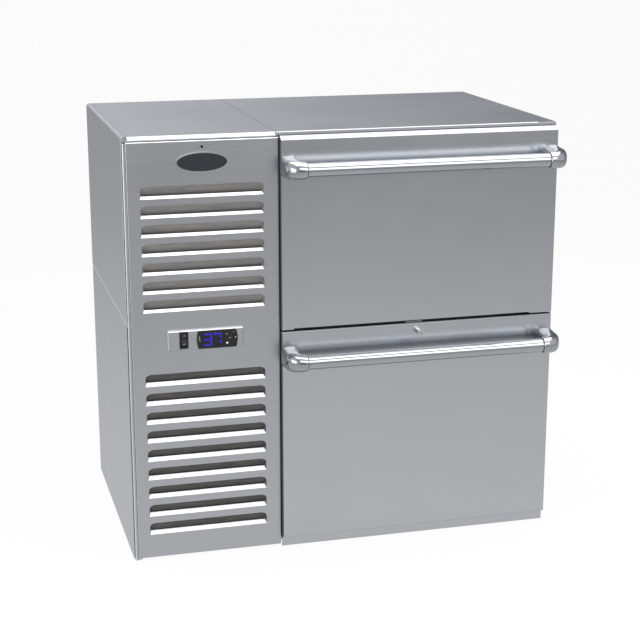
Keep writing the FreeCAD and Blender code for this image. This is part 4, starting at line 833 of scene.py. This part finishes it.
class FRIDGE_OT_stage(bpy.types.Operator):
    """Builds the pale floor and backdrop, the soft lights and the camera"""

    bl_idname = "fridge.stage"
    bl_label = "Stage"

    def execute(self, context):
        scene = context.scene
        settings = scene.fridge_stage
        scene.view_settings.view_transform = "Standard"
        self.floor(settings)
        for name, place, target, size, power in SOFTBOXES:
            self.softbox(name, place, target, size, getattr(settings, power))
        self.surroundings(scene)
        data = bpy.data.cameras.new("camera")
        data.sensor_width = 36.0
        data.lens = settings.lens
        data.shift_y = 0.0085
        camera = bpy.data.objects.new("camera", data)
        camera.location = settings.camera_place
        camera.rotation_euler = (math.pi / 2 - settings.camera_tilt, 0, -settings.camera_turn)
        scene.collection.objects.link(camera)
        scene.camera = camera
        return {"FINISHED"}

    def floor(self, settings):
        """Pale floor that bends up into a backdrop; it renders white to the eye and keeps the shadow."""
        profile = [(FLOOR_FRONT, 0.0), (FLOOR_BACK, 0.0)]
        for step in range(1, 9):
            angle = math.pi / 2 * step / 8
            back = FLOOR_BACK + BACKDROP_BEND * math.sin(angle)
            profile.append((back, BACKDROP_BEND * (1.0 - math.cos(angle))))
        profile.append((FLOOR_BACK + BACKDROP_BEND, BACKDROP_TOP))
        mesh = bpy.data.meshes.new("floor")
        built = bmesh.new()
        sides = (-FLOOR_HALF_WIDTH, FLOOR_HALF_WIDTH)
        rows = [[built.verts.new((x, y, z)) for y, z in profile] for x in sides]
        for i in range(len(profile) - 1):
            built.faces.new((rows[0][i], rows[1][i], rows[1][i + 1], rows[0][i + 1]))
        built.to_mesh(mesh)
        built.free()
        mesh.materials.append(self.paper(settings))
        floor = bpy.data.objects.new("floor", mesh)
        bpy.context.scene.collection.objects.link(floor)

    def paper(self, settings):
        """Matt seamless background paper, whose colour holds a painted pool of light: palest round the
        refrigerator and greyer with distance. Metal sees this falloff; the eye sees the paper white."""
        material, tree = blank("matt_paper", "#FFFFFF")
        place = add(tree, "ShaderNodeTexCoord").outputs["Object"]
        away = add(tree, "ShaderNodeVectorMath", {0: place}, operation="LENGTH").outputs["Value"]
        # Painted falloff of light: pale near the refrigerator, grey far off.
        tone = between(tree, away, linear("#E4E4E5"), linear("#A0A0A1"), PAINTED_FALLOFF_REACH)
        rays = add(tree, "ShaderNodeLightPath").outputs
        seen = rays["Is Camera Ray"]
        for ray in ("Is Glossy Ray", "Is Transmission Ray"):
            seen = add(tree, "ShaderNodeMath", {0: seen, 1: rays[ray]}, operation="MAXIMUM").outputs[0]
        share = add(tree, "ShaderNodeMath", {0: seen, 1: PAPER_TONE}, operation="MULTIPLY").outputs[0]
        white = between(tree, rays["Is Camera Ray"], tone, (*settings.floor_colour, 1.0), (0, 1))
        glow = add(tree, "ShaderNodeEmission", {"Color": white, "Strength": 1.0}).outputs["Emission"]
        matt = add(tree, "ShaderNodeBsdfPrincipled", {"Base Color": tone, "Roughness": 0.9}).outputs["BSDF"]
        mixed = add(tree, "ShaderNodeMixShader", {0: share, 1: matt, 2: glow}).outputs[0]
        add(tree, "ShaderNodeOutputMaterial", {"Surface": mixed})
        return material

    def softbox(self, name, place, target, size, power):
        """Adds a rectangular soft light that points at its target."""
        data = bpy.data.lights.new(name, "AREA")
        data.shape = "RECTANGLE"
        data.size, data.size_y = size
        data.energy = power
        lamp = bpy.data.objects.new(name, data)
        lamp.location = place
        lamp.rotation_euler = (Vector(target) - Vector(place)).to_track_quat("-Z", "Y").to_euler()
        bpy.context.scene.collection.objects.link(lamp)

    def surroundings(self, scene):
        """Studio round the paper: white to the eye; metal sees it grey, paler to the right and far left in
        front, where the walls are lit, and paler to the left behind."""
        world = bpy.data.worlds.new("studio")
        scene.world = world
        world.use_nodes = True
        tree = world.node_tree
        tree.nodes.clear()
        way = add(tree, "ShaderNodeTexCoord").outputs["Generated"]
        axes = add(tree, "ShaderNodeSeparateXYZ", {"Vector": way}).outputs
        x, y = axes["X"], axes["Y"]
        lit_wall, far_room = linear("#F0F0F2"), linear("#8A8C90")
        front = between(tree, x, far_room, lit_wall, (-0.1, 0.6))
        front = between(tree, x, lit_wall, front, (-0.75, -0.35))
        behind = between(tree, x, linear("#F3F4F6"), linear("#808286"), (0.0, 0.4))
        shade = between(tree, y, front, behind, (-0.2, 0.5))
        eye = add(tree, "ShaderNodeLightPath").outputs["Is Camera Ray"]
        shade = between(tree, eye, shade, linear("#FDFDFD"), (0, 1))
        ground = add(tree, "ShaderNodeBackground", {"Color": shade, "Strength": 1.0})
        add(tree, "ShaderNodeOutputWorld", {"Surface": ground.outputs["Background"]})


STEPS = (
    FRIDGE_OT_stage,
    FRIDGE_OT_cabinet,
    FRIDGE_OT_louvred_front,
    FRIDGE_OT_badge,
    FRIDGE_OT_controls,
    FRIDGE_OT_drawers,
    FRIDGE_OT_handles,
    FRIDGE_OT_lock,
    FRIDGE_OT_cold_room,
    FRIDGE_OT_condensing_unit,
)


class FRIDGE_PT_panel(bpy.types.Panel):
    """Lists the settings and the pieces of the refrigerator"""

    bl_label = "Refrigerator"
    bl_idname = "FRIDGE_PT_panel"
    bl_space_type = "VIEW_3D"
    bl_region_type = "UI"
    bl_category = "Refrigerator"

    def draw(self, context):
        layout = self.layout
        for settings in (context.scene.fridge_display, context.scene.fridge_stage):
            box = layout.box()
            for key in settings.__annotations__:
                box.prop(settings, key)
        for step in STEPS:
            layout.operator(step.bl_idname)


CLASSES = (FridgeDisplaySettings, FridgeStageSettings, *STEPS, FRIDGE_PT_panel)


def register():
    for item in CLASSES:
        bpy.utils.register_class(item)
    bpy.types.Scene.fridge_display = PointerProperty(type=FridgeDisplaySettings)
    bpy.types.Scene.fridge_stage = PointerProperty(type=FridgeStageSettings)


def unregister():
    del bpy.types.Scene.fridge_stage
    del bpy.types.Scene.fridge_display
    for item in reversed(CLASSES):
        bpy.utils.unregister_class(item)


def main():
    register()
    for step in STEPS:
        group, name = step.bl_idname.split(".")
        getattr(getattr(bpy.ops, group), name)()


if __name__ == "__main__":
    main()
